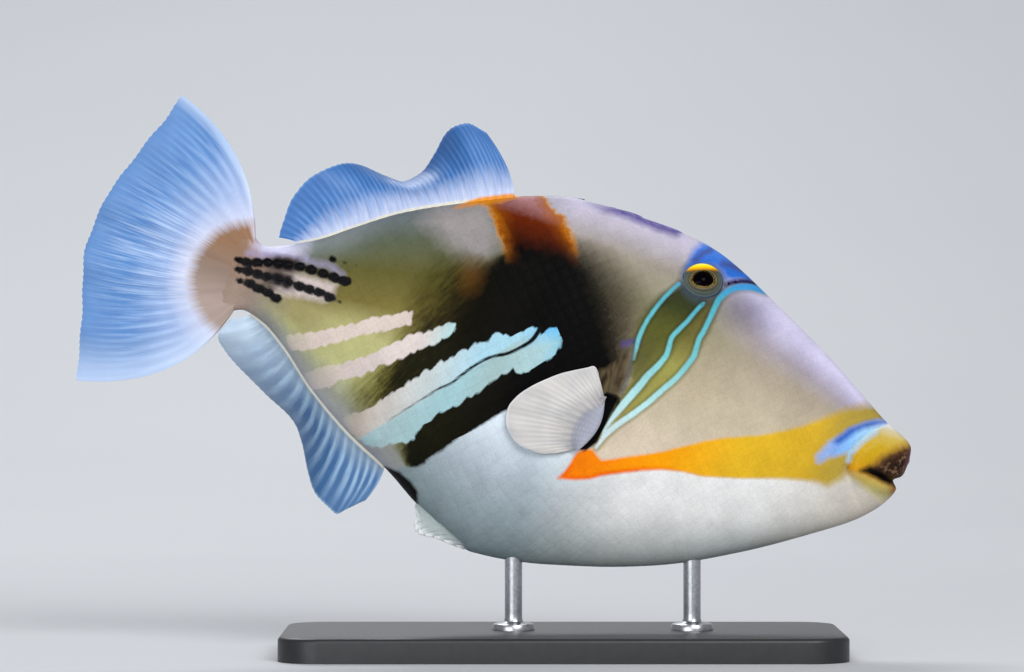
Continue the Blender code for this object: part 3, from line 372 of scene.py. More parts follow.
class Field:
    """A distance over (station, height) in millimetres, worked out on a fine table and read between entries.
    It is positive inside the outlines, or near the lines, that it is made from, and negative outside."""

    STEP, LOW, HIGH = 0.4, (-12.0, -96.0), (246.0, 62.0)
    station, height = np.meshgrid(np.arange(LOW[0], HIGH[0], STEP), np.arange(LOW[1], HIGH[1], STEP),
                                  indexing="ij")

    def __init__(self, table):
        self.table = table

    @classmethod
    def outline(cls, points):
        ring = points + points[:1]
        inside = np.zeros(cls.station.shape, bool)
        for (ax, ay), (bx, by) in zip(ring, ring[1:]):
            if ay != by:
                crosses = (ay > cls.height) != (by > cls.height)
                inside ^= crosses & (cls.station < ax + (cls.height - ay) * (bx - ax) / (by - ay))
        return cls(np.where(inside, 1, -1) * to_segments(ring, cls.station, cls.height))

    @classmethod
    def lines(cls, lines, half):
        """half is half the width of the lines."""
        least = np.full(cls.station.shape, 1e9)
        for points in lines:
            if len(points) > 2:
                points = list(zip(*along(points, np.linspace(0, 1, 4 * len(points)))))
            least = np.minimum(least, to_segments(points, cls.station, cls.height))
        return cls(half - least)

    @classmethod
    def rounds(cls, spots, along=1.0, up=1.0):
        """Round spots of (station, height, radius), narrowed by the factors along and up."""
        return cls(np.max([radius - np.hypot((cls.station - s) * along, (cls.height - h) * up)
                           for s, h, radius in spots], axis=0))

    @classmethod
    def between(cls, outer, inner):
        """0 outside the outer outline, 1 inside the inner one, and even between them."""
        outer, inner = cls.outline(outer).table, cls.outline(inner).table
        share = outer / np.maximum(outer - inner, 1e-6)
        return cls(np.where(inner >= 0, 1.0, np.where(outer <= 0, 0.0, share)))

    def either(self, other):
        return Field(np.maximum(self.table, other.table))

    def __call__(self, station, height):
        i = np.clip((station - self.LOW[0]) / self.STEP, 0, self.table.shape[0] - 1.001)
        j = np.clip((height - self.LOW[1]) / self.STEP, 0, self.table.shape[1] - 1.001)
        return bilinear(self.table, i, j)


narrowing = np.interp(Field.station, [105, 111, 116, 130, 146], [0.95, 0.68, 0.5, 0.4, 0.2])
cheek_tables = [Field.lines([line], 0.0).table + np.interp(Field.height, *zip(*halves))
                for line, halves in CHEEK_LINES]
# those that a scale takes nearly whole, so that their edges step a little from scale to scale
STEPPED = {
    "bar_a": Field.outline(BAR_A),
    "bar_b": Field.outline(BAR_B),
    "bars_blue": Field.outline(BARS_BLUE),
    "belly": Field.outline(WHITE_BELLY),
    "dark": Field.between(DARK_OUTER, DARK_INNER),
    "brown": Field.outline(BROWN_BAND),
    "sliver": Field.outline(ORANGE_SLIVER),
    "saddle": Field.outline(PALE_SADDLE),
}
# those with clean edges
CLEAN = {
    "split": Field(Field.lines([BAR_SPLIT], 0.0).table + narrowing),
    "lines": Field(np.max(cheek_tables, axis=0)),
    "olive": Field.outline(CHEEK_OLIVE),
    "brow": Field.outline(BROW),
    "brow_streaks": Field.lines(BROW_STREAKS, 0.65),
    "brow_band": Field.lines([BROW_BAND], 0.75),
    "violet": Field.lines([NAPE_VIOLET], 1.1).either(Field.lines([VIOLET_MARK], 0.4)),
    "orbit": Field.rounds([ORBIT_RING]),
    "shade": Field.rounds([(*BROW_SHADE[:2], 1)], 1 / BROW_SHADE[2], 1 / BROW_SHADE[3]),
    "orange": Field.outline(ORANGE_STRIPE),
    "muzzle": Field.outline(MUZZLE_BLUE),
    "navy": Field.outline(MUZZLE_NAVY),
    "lip_edge": Field.lines([LIP_EDGE], 0.6),
    "mouth": Field.outline(MOUTH_BROWN),
    "mouth_black": Field.outline(MOUTH_BLACK),
    "lower_lip": Field.outline(LOWER_LIP),
    "vent": Field.outline(VENT),
    "gill": Field.outline(GILL_PATCH),
    "gill_line": Field.lines([GILL_LINE], 0.4),
    "gill_gap": Field.outline(GILL_GAP),
    "stalk_pale": Field.outline(STALK_PALE),
    "lavender": Field.lines(STALK_LAVENDER, 0.8),
    "spine_spots": Field.rounds(SPOTS, 0.8, 1.1),
    "stain": Field.rounds([BAND_STAIN], up=0.7),
    "flesh": Field.rounds([TAIL_FLESH]),
}


def attribute(piece, name, values):
    made = piece.data.attributes.new(name, "FLOAT", "POINT")
    made.data.foreach_set("value", np.asarray(values, np.float32).ravel())


def corners(piece):
    """A piece's vertices, as an array of places in its own frame."""
    co = np.empty(len(piece.data.vertices) * 3)
    piece.data.vertices.foreach_get("co", co)
    return co.reshape(-1, 3)


def places_of(piece):
    """A piece's vertices in the fish's frame, as an array of (station, y, height)."""
    return unposed(corners(piece))


def mark(piece, stepped_at=None):
    """Stores the markings' distances on a piece's vertices. The stepped ones may be read somewhere else."""
    own = places_of(piece)[:, ::2]
    stepped_at = own if stepped_at is None else stepped_at
    for fields, at in ((STEPPED, stepped_at), (CLEAN, own)):
        for name, field in fields.items():
            attribute(piece, name, field(at[:, 0], at[:, 1]))
    attribute(piece, "station", own[:, 0])
    attribute(piece, "height", own[:, 1])
    low, top = belly(own[:, 0]), back(own[:, 0])
    attribute(piece, "up", (own[:, 1] - low) / np.maximum(top - low, 1))


# ---------------------------------------------------------------- materials
def paint(red, green, blue):
    """A colour given in 0 to 255 as seen on a screen, as the light that it sends back."""
    shares = [channel / 255 for channel in (red, green, blue)]
    return tuple(c / 12.92 if c < 0.0412 else ((c + 0.055) / 1.055) ** 2.4 for c in shares) + (1,)


class Value:
    """A number, colour or place in a material's graph. Arithmetic on it adds the nodes that work it out."""

    def __init__(self, finish, socket):
        self.finish, self.socket = finish, socket

    def maths(self, operation, *others, clamp=False):
        settings = {"operation": operation, "use_clamp": clamp}
        return self.finish.node("ShaderNodeMath", settings, self, *others)

    def __add__(self, other):
        return self.maths("ADD", other)

    def __sub__(self, other):
        return self.maths("SUBTRACT", other)

    def __mul__(self, other):
        return self.maths("MULTIPLY", other)

    def __rsub__(self, other):
        return self.finish.node("ShaderNodeMath", {"operation": "SUBTRACT"}, other, self)

    __radd__, __rmul__ = __add__, __mul__

    def over(self, start, end):
        """0 where the value is start or less, 1 where it is end or more; start may be the greater."""
        return self.maths("MULTIPLY_ADD", 1 / (end - start), -start / (end - start), clamp=True)

    def edge(self, soft):
        """A distance as a mask: half at the outline, full or none past soft millimetres to either side."""
        return self.over(-soft, soft)


class Finish:
    """A material: its shader's sockets are set by name, with a constant or with a Value."""

    def __init__(self, name, **settings):
        self.material = bpy.data.materials.new(name)
        self.material.use_nodes = True
        self.tree = self.material.node_tree
        self.shader = self.tree.nodes["Principled BSDF"]
        self.set(**settings)

    def set(self, **settings):
        for name, value in settings.items():
            words = [w if w == "IOR" else w.capitalize() for w in name.split("_")]
            self.plug(value, self.shader.inputs[" ".join(words)])

    def plug(self, value, socket):
        if isinstance(value, Value):
            self.tree.links.new(value.socket, socket)
        else:
            socket.default_value = value

    def node(self, kind, settings=None, *values, out=0, **named):
        made = self.tree.nodes.new(kind)
        for key, value in (settings or {}).items():
            setattr(made, key, value)
        for key, value in [*enumerate(values), *named.items()]:
            if value is not None:
                self.plug(value, made.inputs[key])
        return Value(self, made.outputs[out])

    def attribute(self, name):
        return self.node("ShaderNodeAttribute", {"attribute_name": name}, out=2)

    def place(self):
        """Object coordinates, in millimetres."""
        at = self.node("ShaderNodeTexCoord", out=3)
        return self.node("ShaderNodeVectorMath", {"operation": "SCALE"}, at, Scale=1 / MM, out=0)

    def noise(self, place, size, detail, roughness=0.5):
        """Cloudy noise, 0 to 1, whose lumps are about size across."""
        return self.node("ShaderNodeTexNoise", None, place, None, 1 / size, detail, roughness)

    def cells(self, place, size):
        """The distance to the middle of the nearest of many cells that are about size across."""
        return self.node("ShaderNodeTexVoronoi", None, place, None, 1 / size)

    def along(self, x, y):
        """A place on a flat pattern."""
        return self.node("ShaderNodeCombineXYZ", None, x, y)

    def mix(self, factor, a, b, blend="MIX"):
        """Colour a, with b on it as far as the factor says."""
        settings = {"data_type": "RGBA", "blend_type": blend}
        return self.node("ShaderNodeMix", settings, factor, *[None] * 5, a, b, out=2)

    def tinted(self, colour, factor, tint):
        """The colour multiplied by a tint, as far as the factor says."""
        return self.mix(factor, colour, tint, "MULTIPLY")

    def lay(self, mask, colour):
        """Lays a colour over the finish's own so far, as far as the mask says."""
        self.colour = self.mix(mask, self.colour, colour)

    def shade(self, amount, tint):
        """Multiplies the finish's colour so far by a tint."""
        self.colour = self.tinted(self.colour, amount, tint)

    def ramp(self, value, stops):
        """Colours at values, evenly mixed between them. A stop is (value, red, green, blue)."""
        low, high = stops[0][0], stops[-1][0]
        made = self.node("ShaderNodeValToRGB", None, value.over(low, high))
        elements = made.socket.node.color_ramp.elements
        while len(elements) < len(stops):
            elements.new(0.5)
        for element, (at, *_) in zip(elements, stops):
            element.position = (at - low) / (high - low)
        for element, (_, *colour) in zip(elements, stops):
            element.color = paint(*colour)
        return made

    def bump(self, height, distance, strength):
        """Relief from a height of 0 to 1 that is distance millimetres deep."""
        self.set(Normal=self.node("ShaderNodeBump", None, Strength=strength, Distance=distance * MM,
                                  Height=height))


def root_flesh(f, height):
    """The fleshy root of the tail fin, which the skin of the stalk runs into."""
    return f.ramp(height, [(-14, 160, 140, 130), (-6, 132, 111, 97), (2, 134, 99, 70), (9, 137, 98, 64)])


class Coat(Finish):
    """The finish of the fish's skin, whose colour is built up zone over zone."""

    def __init__(self, name, **settings):
        super().__init__(name, **settings)
        self.at = self.place()
        self.station, self.height, self.up = (self.attribute(name) for name in ("station", "height", "up"))
        self.grain, self.cloud = self.noise(self.at, 0.5, 3), self.noise(self.at, 7, 4)
        self.wobble = self.noise(self.at, 1.7, 3) - 0.5

    def zone(self, name, soft, ragged):
        """A marking's mask, with an edge that is soft and ragged by so many millimetres."""
        return (self.attribute(name) + self.wobble * ragged).edge(soft)


def head_colours(f):
    """The head: grey-olive with a pale violet forehead and nape, which is painted highlight where light falls
    from above, and its muzzle.
    """
    station, up = f.station, f.up
    # both ramps turn paler and violet towards the top: painted highlight along the top of the head
    f.colour = f.ramp(up, [(0.05, 205, 190, 168), (0.35, 214, 198, 176), (0.58, 180, 167, 140),
                           (0.77, 134, 129, 96), (0.88, 150, 142, 128), (0.95, 184, 177, 190),
                           (1.0, 204, 198, 220)])
    muzzle = f.ramp(up, [(0.3, 210, 196, 172), (0.58, 190, 176, 152), (0.76, 162, 150, 132),
                         (0.84, 158, 149, 156), (0.9, 180, 173, 196), (0.96, 206, 201, 228),
                         (1.0, 214, 208, 234)])
    f.lay(station.over(72, 50), muzzle)


def flank_colours(f):
    """The rear flank and the tail stalk under the markings; the stalk's upper edge is paler as painted
    highlight.
    """
    station, up, wobble = f.station, f.up, f.wobble
    rear = f.ramp(up, [(0.0, 162, 164, 172), (0.1, 156, 158, 142), (0.22, 186, 186, 132),
                       (0.42, 182, 178, 120), (0.56, 118, 107, 50), (0.72, 94, 90, 44), (0.86, 88, 95, 76),
                       (1.0, 106, 114, 120)])
    rear = f.mix(up.over(0.78, 0.94) * station.over(162, 175) * 0.8, rear, paint(130, 137, 136))
    rear = f.tinted(rear, station.over(162, 178) * up.over(0.75, 0.5) * up.over(0.12, 0.3),
                    paint(212, 204, 196))
    f.lay((station + wobble * 6).over(112, 130), rear)
    # the stalk's pale lavender top is painted highlight
    stalk = f.ramp(up, [(0.0, 128, 130, 120), (0.5, 158, 142, 126), (0.72, 150, 134, 128),
                        (0.86, 198, 192, 214), (1.0, 206, 202, 228)])
    f.lay((station + wobble * 5).over(180, 194), stalk)
    f.lay(f.zone("saddle", 4.0, 3), paint(150, 143, 142))
    f.shade(f.attribute("shade").over(0.0, 0.8) * 0.9, paint(198, 198, 206))


def saddle_colours(f):
    """The dark saddle: grey towards the cheek and olive towards the tail. It returns its depth."""
    station, height, grain, wobble = f.station, f.height, f.grain, f.wobble
    dark = f.attribute("dark")
    slanted = f.noise(f.along(station * 0.9 + height * 0.5, height * 0.16 - station * 0.09), 1.0, 3, 0.6)
    hairs = (slanted - 0.5) * (station.over(124, 140) * 0.5 + 0.16)
    level = (dark + ((grain - 0.5) * 0.24 + wobble * 0.14 + hairs) * dark.over(0, 0.3)).over(0, 1)
    grey_dark = f.ramp(level, [(0.0, 255, 255, 255), (0.25, 200, 197, 194), (0.5, 138, 133, 129),
                               (0.75, 58, 53, 48), (0.97, 3, 3, 3)])
    olive_dark = f.ramp(level, [(0.0, 255, 255, 255), (0.3, 200, 196, 166), (0.6, 118, 112, 78),
                                (0.8, 66, 60, 40), (1.0, 40, 40, 34)])
    f.shade(1.0, f.mix((station + wobble * 6).over(113, 136), grey_dark, olive_dark))
    return dark


def band_colours(f):
    """The saddle's rust band, orange at both edges, and the orange sliver by the back fin.
    It returns how far inside the band a place is."""
    station, height, grain, wobble = f.station, f.height, f.grain, f.wobble
    brown = (f.attribute("brown") + wobble * 3 + (grain - 0.5) * 1.2).over(-1.1, 5.4)
    rust = f.ramp(brown, [(0.0, 196, 156, 100), (0.17, 188, 124, 36), (0.34, 160, 86, 8),
                          (0.66, 118, 52, 4), (1.0, 94, 31, 4)])
    rust = f.mix((height + wobble * 2).over(33.5, 39.5) * brown.over(0.2, 0.7), rust, paint(170, 122, 124))
    rust = f.tinted(rust, (height + wobble * 3).over(33, 24.5) * brown.over(0.15, 0.8), paint(10, 4, 3))
    level = height + station * 0.3 + wobble * 3
    rust = f.tinted(rust, level.over(65, 58) * 0.8, paint(90, 70, 50))
    f.lay(brown.over(0.0, 0.26) * level.over(56.5, 61.5), rust)
    f.lay(f.zone("stain", 3.0, 3.0) * 0.45, paint(112, 66, 18))
    f.lay(f.zone("sliver", 0.7, 1.0), paint(214, 134, 14))
    return brown


def belly_colours(f):
    """The white belly, darker towards its underside and under the chin as painted shade."""
    station, up = f.station, f.up
    # both ramps darken towards the underside: painted shade
    white = f.ramp(up, [(0.0, 168, 176, 174), (0.08, 198, 202, 200), (0.18, 228, 228, 226),
                        (0.5, 232, 232, 230)])
    bluish = f.ramp(up, [(0.0, 132, 148, 152), (0.1, 150, 165, 170), (0.2, 168, 180, 188),
                         (0.32, 210, 222, 230), (0.42, 228, 238, 246)])
    white = f.mix(station.over(76, 102), white, bluish)
    # the chin a little darker and warmer: painted shade under the head
    white = f.mix(station.over(40, 8), white, paint(192, 183, 170))
    f.lay(f.zone("belly", 0.4, 0.9), white)


def bar_colours(f):
    """The pale bars with scalloped edges, which fade out towards the tail."""
    station, height, cloud, wobble = f.station, f.height, f.cloud, f.wobble
    scallop = ((station + cloud * 5) * (math.pi / 2.7)).maths("SINE").maths("ABSOLUTE") * 0.5 - 0.3

    def bar(name):
        return (f.attribute(name) + scallop + wobble * 0.5).edge(0.25)

    f.lay(bar("bar_a") * station.over(186, 173), paint(212, 196, 186))
    f.lay(bar("bar_b") * station.over(177, 161),
          f.ramp(station, [(136, 176, 208, 208), (143, 218, 205, 200), (172, 206, 190, 184)]))
    # the lower of the joined bars stays blue to its end, and the upper turns to pink
    blue = f.ramp(station, [(105, 138, 192, 210), (110, 166, 198, 202), (121, 158, 184, 184),
                            (130, 158, 196, 202), (146, 176, 204, 206), (157, 158, 196, 202)])
    pink = f.ramp(station, [(116, 160, 204, 220), (126, 166, 206, 222), (137, 196, 208, 208),
                            (146, 206, 202, 196), (154, 198, 184, 172)])
    blue = f.mix((height + station * 1.124 - 130.9).over(-0.8, 0.8), blue, pink)
    blue = f.mix(station.over(117, 108) * (height + station * 0.66 + wobble * 2).over(72.5, 77), blue,
                 paint(104, 184, 230))
    f.lay(bar("bars_blue") * station.over(162, 152), blue)
    f.lay(f.zone("split", 0.2, 0.3) * station.over(154, 138), paint(8, 9, 10))


def stalk_colours(f):
    """The tail stalk, with a dark spot under each spine, painted shade round the spots and painted highlight
    along its top edge.
    """
    station, height, wobble = f.station, f.height, f.wobble
    f.lay(f.zone("stalk_pale", 1.2, 1.5), paint(196, 182, 176))
    flesh = f.mix(station.over(193, 198) * 0.35, root_flesh(f, height), paint(176, 150, 132))
    f.lay(f.zone("flesh", 2.2, 3.0) * (station + wobble * 3).over(188, 195), flesh)
    # painted highlight: white-lavender along the stalk's top edge
    f.lay((height + wobble * 1.5).over(1.0, 3.5) * station.over(180, 190) * station.over(199, 194),
          f.mix(height.over(2.5, 4.5), paint(176, 168, 196), paint(216, 214, 238)))
    f.lay(f.zone("lavender", 1.0, 1.6) * 0.6, paint(168, 160, 200))
    # painted shade: dark grey-brown round the spots, between the rows of spines
    f.lay((f.attribute("spine_spots") + 1.2).edge(0.9) * station.over(194, 189) * station.over(181, 184)
          * height.over(-7.0, -5.8), paint(66, 54, 54))
    f.lay(f.zone("spine_spots", 0.3, 1.3), paint(5, 3, 6))


def cheek_colours(f):
    """The cheek lines on their olive ground, the brow and the nape. It returns where the olive is."""
    station, height, wobble = f.station, f.height, f.wobble
    olive = f.ramp(height, [(-20, 198, 177, 113), (-8, 152, 142, 78), (4, 112, 108, 54), (14, 84, 86, 32),
                            (22, 46, 52, 15), (27, 40, 44, 17)])
    rearward = station + height * 0.33
    yellow_green = f.mix(height.over(15, 6), paint(122, 108, 58), paint(156, 152, 80))
    olive = f.mix(rearward.over(79, 76) * (height.over(15, 6) * 0.4 + 0.45), olive, yellow_green)
    olive = f.tinted(olive, rearward.over(79.5, 82.5) * height.over(14, 6) * height.over(-12, -6) * 0.8,
                     paint(196, 202, 222))
    olive_zone = (f.attribute("olive") + 0.7 + wobble * 1.2).edge(1.4)
    f.lay(olive_zone, olive)
    f.lay(f.zone("orbit", 0.9, 0.6) * (height.over(24, 34) * 0.4 + 0.35), paint(62, 80, 98))
    f.lay(f.zone("brow", 1.2, 1.0), f.mix(height.over(36, 42), paint(44, 104, 198), paint(84, 136, 226)))
    f.lay(f.zone("brow_streaks", 0.8, 0.8) * 0.85, paint(72, 68, 116))
    f.lay(f.zone("brow_band", 0.5, 0.4), paint(46, 44, 88))
    f.lay(f.zone("violet", 1.2, 1.0) * station.over(112, 100), paint(76, 64, 138))
    teal = f.ramp(height, [(-22, 212, 228, 230), (-8, 178, 220, 220), (8, 112, 190, 194),
                           (26, 70, 164, 182), (33, 62, 146, 206)])
    f.shade((f.attribute("lines") + 0.7).edge(0.5) * 0.5, paint(120, 140, 110))
    f.lay(f.zone("lines", 0.28, 0.3), teal)
    return olive_zone


def stripe_colours(f):
    """The stripe from the muzzle to below the side fin, and the blue muzzle mark."""
    station, height, wobble = f.station, f.height, f.wobble
    stripe = f.ramp(station, [(16, 166, 144, 62), (22, 180, 152, 56), (28, 206, 166, 40),
                              (48, 224, 178, 36), (68, 246, 160, 0), (84, 250, 138, 0), (95, 246, 120, 0)])
    stripe = f.mix(f.attribute("orange").over(1.6, 0.2) * (height + station * 0.36).over(4.4, 2.4)
                   * station.over(60, 76), stripe, paint(244, 98, 0))
    f.lay((f.attribute("orange") * (station.over(18, 48) * 0.7 + 0.3) + wobble * 0.5).edge(0.5), stripe)
    sky = f.ramp(station, [(8, 220, 236, 242), (14, 170, 214, 242), (19, 126, 178, 236),
                           (22, 126, 162, 220), (26, 154, 174, 216)])
    f.lay(f.zone("muzzle", 0.9, 0.8), sky)
    navy = f.mix(station.over(9, 15), paint(84, 110, 200), paint(36, 84, 176))
    f.lay((f.attribute("navy") + 0.3 + wobble * 0.5).edge(0.9) * station.over(25.5, 22), navy)


def gill_colours(f):
    """The gill opening, its gap laid black as painted shade, and the vent."""
    station, height = f.station, f.height
    mottled = f.mix(f.noise(f.along(station, height * 0.3), 1.8, 2).over(0.3, 0.7), paint(44, 34, 24),
                    paint(106, 92, 66))
    f.lay(f.zone("gill", 0.8, 1.0), mottled)
    f.lay(f.zone("gill_line", 0.5, 0.3) * 0.8, paint(92, 98, 102))
    # painted shade: the gap of the gill opening laid black
    f.lay(f.zone("gill_gap", 0.35, 0.3), paint(3, 3, 4))
    f.lay(f.zone("vent", 0.5, 0.9), paint(6, 5, 7))


def mouth_colours(f):
    """The lips, whose top is paler as painted highlight, and the mouth, whose line is laid black as painted
    shade.
    """
    at, station, height, wobble = f.at, f.station, f.height, f.wobble
    lips = f.attribute("lips")
    # the lip's ramp turns whitish at its top: painted highlight
    lip = f.ramp(height, [(-9, 206, 140, 10), (-5, 200, 156, 18), (0, 200, 164, 34), (3.2, 200, 174, 84),
                          (5.4, 212, 200, 166), (7.0, 224, 232, 240)])
    f.lay(lips.edge(0.5) * (height + wobble).over(-10.4, -8.6), lip)
    f.lay((lips - 0.1).over(0.8, 0.0) * (lips + 0.7).over(0.0, 0.7) * height.over(1, -3)
          * height.over(-10.5, -9) * 0.5, paint(104, 70, 30))
    f.lay(f.zone("lip_edge", 0.8, 0.2) * 0.85, paint(176, 214, 240))
    low_lip = f.mix(height.over(-13, -9.5), paint(170, 164, 110), paint(186, 158, 74))
    f.lay(f.zone("lower_lip", 1.3, 0.6), low_lip)
    f.lay(f.zone("lower_lip", 1.4, 0.6) * (station - height * 0.3).over(7.6, 5.2), paint(138, 90, 56))
    inside = f.attribute("mouth")
    brown_lip = f.ramp(inside + wobble * 2.0, [(-1.6, 188, 146, 44), (0.0, 142, 98, 44), (1.3, 88, 58, 34),
                                               (2.6, 50, 32, 20), (4.4, 36, 22, 15)])
    brown_lip = f.mix(f.noise(at, 1.3, 3, 0.6).over(0.52, 0.66) * inside.over(1.6, 3.2) * 0.7, brown_lip,
                      paint(132, 100, 74))
    brown_lip = f.mix(station.over(2.0, 0.0) * 0.6, brown_lip, paint(128, 84, 84))
    f.lay(f.zone("mouth", 1.6, 1.0), brown_lip)
    # painted shade: the closed mouth's line laid black
    f.lay((f.attribute("mouth_black") + 0.3 + wobble * 0.6).edge(0.8), paint(8, 5, 5))


def skin_finish(name, scaled):
    """The fish's colours, the same for the skin and the scales."""
    f = Coat(name, IOR=1.42, Specular_IOR_Level=0.05, Coat_Roughness=0.3, Coat_IOR=1.4)
    head_colours(f)
    flank_colours(f)
    dark, brown = saddle_colours(f), band_colours(f)
    belly_colours(f)
    bar_colours(f)
    stalk_colours(f)
    olive = cheek_colours(f)
    stripe_colours(f)
    gill_colours(f)
    mouth_colours(f)
    # every part carries fine mottling, and a scale its own shade
    grain, cloud = f.grain, f.cloud
    f.shade(grain.over(0.62, 0.38) * 0.2, paint(200, 198, 196))
    f.shade(cloud.over(0.6, 0.35) * 0.25, paint(210, 206, 208))
    f.shade(f.attribute("plate") * 0.12, paint(205, 202, 198))
    if scaled:
        # painted shade: each scale darker at its rim, where the scales meet
        rim = f.attribute("rim")
        f.shade(rim.over(0.8, 1.0) * 0.1, paint(200, 198, 196))
        f.set(Roughness=rim * 0.1 + 0.42)
        f.bump(grain * 0.6 + f.noise(f.at, 0.9, 2) * 0.8, 0.05, 0.8)
    else:
        f.set(Roughness=cloud.over(0, 1) * 0.12 + 0.40)
        f.bump(f.cells(f.at, 0.55).maths("MULTIPLY", 1.0, clamp=True) * 0.6 + grain * 0.4, 0.05, 0.8)
    gloss = dark.over(0.9, 0.2) * brown.over(0.5, 0.1) * (0.13 - olive * 0.11)
    f.set(Base_Color=f.colour, Coat_Weight=gloss)
    return f.material


# ---------------------------------------------------------------- making pieces
def alone(piece):
    """Selects one piece and nothing else."""
    bpy.ops.object.select_all(action="DESELECT")
    piece.select_set(True)
    bpy.context.view_layer.objects.active = piece


def named(name):
    """The piece that was just made, with its name."""
    piece = bpy.context.object
    piece.name = piece.data.name = name
    return piece


def move(piece, points):
    """Puts a piece's vertices at points, in metres."""
    piece.data.vertices.foreach_set("co", np.asarray(points, np.float32).ravel())
    piece.data.update()


def apply(piece, kind, **settings):
    """Adds a modifier and applies it."""
    alone(piece)
    made = piece.modifiers.new(kind.title(), kind)
    for name, value in settings.items():
        setattr(made, name, value)
    bpy.ops.object.modifier_apply(modifier=made.name)


def edit(piece, *steps):
    """Runs edit-mode operators on all of a piece: each step is (operator, settings)."""
    alone(piece)
    bpy.ops.object.mode_set(mode="EDIT")
    bpy.ops.mesh.select_all(action="SELECT")
    for step, settings in steps:
        step(**settings)
    bpy.ops.object.mode_set(mode="OBJECT")


def outward(piece):
    """Turns a closed piece's faces outward."""
    edit(piece, (bpy.ops.mesh.normals_make_consistent, {"inside": False}))


def thicken(piece, thick):
    """Gives a sheet a thickness in millimetres for each vertex, half of it to either side."""
    most = thick.max()
    group = piece.vertex_groups.new(name="thick")
    for i, weight in enumerate(thick / most):
        group.add([i], float(weight), "REPLACE")
    apply(piece, "SOLIDIFY", thickness=most * MM, offset=0, vertex_group="thick")
    piece.vertex_groups.clear()
    outward(piece)


def smooth(piece, angle=None):
    """Shades a piece smooth, but for edges keener than the angle in degrees."""
    alone(piece)
    if angle is None:
        bpy.ops.object.shade_smooth()
    else:
        bpy.ops.object.shade_smooth_by_angle(angle=math.radians(angle))


def done(piece, slot, *replaced):
    """Puts a finished piece on the part's root and hides the solids that it is drawn instead of. slot is not
    used.
    """
    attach(piece, "root")
    if replaced:
        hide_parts(*replaced)
    return piece


def dress(piece, material):
    """Gives a piece its one material."""
    piece.data.materials.clear()
    piece.data.materials.append(material)


def faced(axis):
    """The turn that takes +Z to a way, its +Y as near to up as it can be."""
    axis = Vector(axis).normalized()
    side = Vector((0, 0, 1)).cross(axis)
    side = side.normalized() if side.length > 1e-4 else Vector((1, 0, 0))
    return np.array(Matrix((side, axis.cross(side), axis)).transposed())


# ---------------------------------------------------------------- skin
# how large the scales are at a station, as a share of the largest ones on the flank
pitch = Line([(12, 0.36), (20, 0.42), (40, 0.55), (75, 0.68), (92, 0.85), (115, 1.0), (150, 0.92),
              (185, 0.62), (198, 0.5)])
SCALE_ALONG, SCALE_UP = 4.8, 5.2  # the largest scales' diagonals
BARE_SUNK = 0.04  # how far the skin lies below the part's surface where no scales are


def sinks(station, height):
    """How far the skin lies below the scales' tops."""
    past_lips = ease(station - crease_station(height), 0.3, 3)
    past_stalk = ease(station, 199.5, 194)
    return BARE_SUNK + past_lips * past_stalk * (SKIN_SUNK * pitch(station) - BARE_SUNK)


def lip_swell(station, height):
    """How far the lips stand out past the plain profile: the upper is a full bulb, the lower a thin roll."""
    upper = 0.95 * np.exp(-(((station - 7.5) / 5.2) ** 2) - ((height + 2.6) / 4.6) ** 2)
    lower = 0.5 * np.exp(-(((station - 6.5) / 5.0) ** 2) - ((height + 10.8) / 1.8) ** 2)
    return (upper * ease(crease_station(height) - station, 0.2, 2.6) + lower) * ease(station, 0.1, 2.0)


def mouth_groove(station, height):
    """How far the skin is drawn in along the closed mouth's line: deeper and wider to the front."""
    corner, front = GAPE[0], (-1.0, -8.7)
    t = np.clip((corner[0] - station) / (corner[0] - front[0]), 0, 1)
    line = mix(corner[1], front[1], t)
    width = mix(0.5, np.where(height > line, 1.8, 0.95), t)
    fade = ease(station, corner[0] + 0.8, corner[0] - 1.5)
    return mix(0.7, 2.4, t) * fade * np.exp(-(((height - line) / width) ** 2))


def prism(name, outline, low, high):
    """A closed block: an outline of (station, height) carried across the fish from y low to y high."""
    bpy.ops.mesh.primitive_circle_add(vertices=len(outline), fill_type="NGON")
    piece = named(name)
    move(piece, posed([(s, low, h) for s, h in outline]))
    edit(piece, (bpy.ops.mesh.extrude_region_move,
                 {"TRANSFORM_OT_translate": {"value": (0, (high - low) * MM, 0)}}))
    outward(piece)
    return piece


def gill_cutter(side):
    """A block for the gill slit, from well outside the flank to the slit's floor."""
    deep = [on_flank(s, h, side)[0][1] for s, h in GILL_SLIT[:3]]
    inner = side * (min(abs(y) for y in deep) - GILL_SLIT_DEPTH)
    return prism("slit", GILL_SLIT, *sorted((inner, side * 30)))


def nostril_cutter(place, side):
    """A round pin for a nostril's pit."""
    at, way = on_flank(*place, side)
    bpy.ops.mesh.primitive_cylinder_add(vertices=20, radius=0.38, depth=2.4)
    piece = named("nostril_hole")
    move(piece, posed(at + corners(piece) @ faced(way).T))
    outward(piece)
    return piece


def groove_cutter():
    """A block for the folded spines' groove, which is shallow at both ends."""
    low, high = TRIGGER_SLOT
    spread = np.linspace(low, high, 24)
    deep = TRIGGER_SLOT_DEPTH * ease(spread, low - 0.5, low + 2) * ease(spread, high + 0.5, high - 9)
    floor = list(zip(spread, back(spread) - deep))
    roof = [(s, float(back(s)) + 3) for s in spread[::-1]]
    return prism("groove", floor + roof, -TRIGGER_SLOT_WIDTH / 2, TRIGGER_SLOT_WIDTH / 2)


def skin_cutters():
    """What is taken out of the skin: gill slits, nostrils and the groove for the folded spines."""
    cutters = []
    for side in (1, -1):
        cutters.append(gill_cutter(side))
        cutters.extend(nostril_cutter(place, side) for place in NOSTRILS)
    return [*cutters, groove_cutter()]


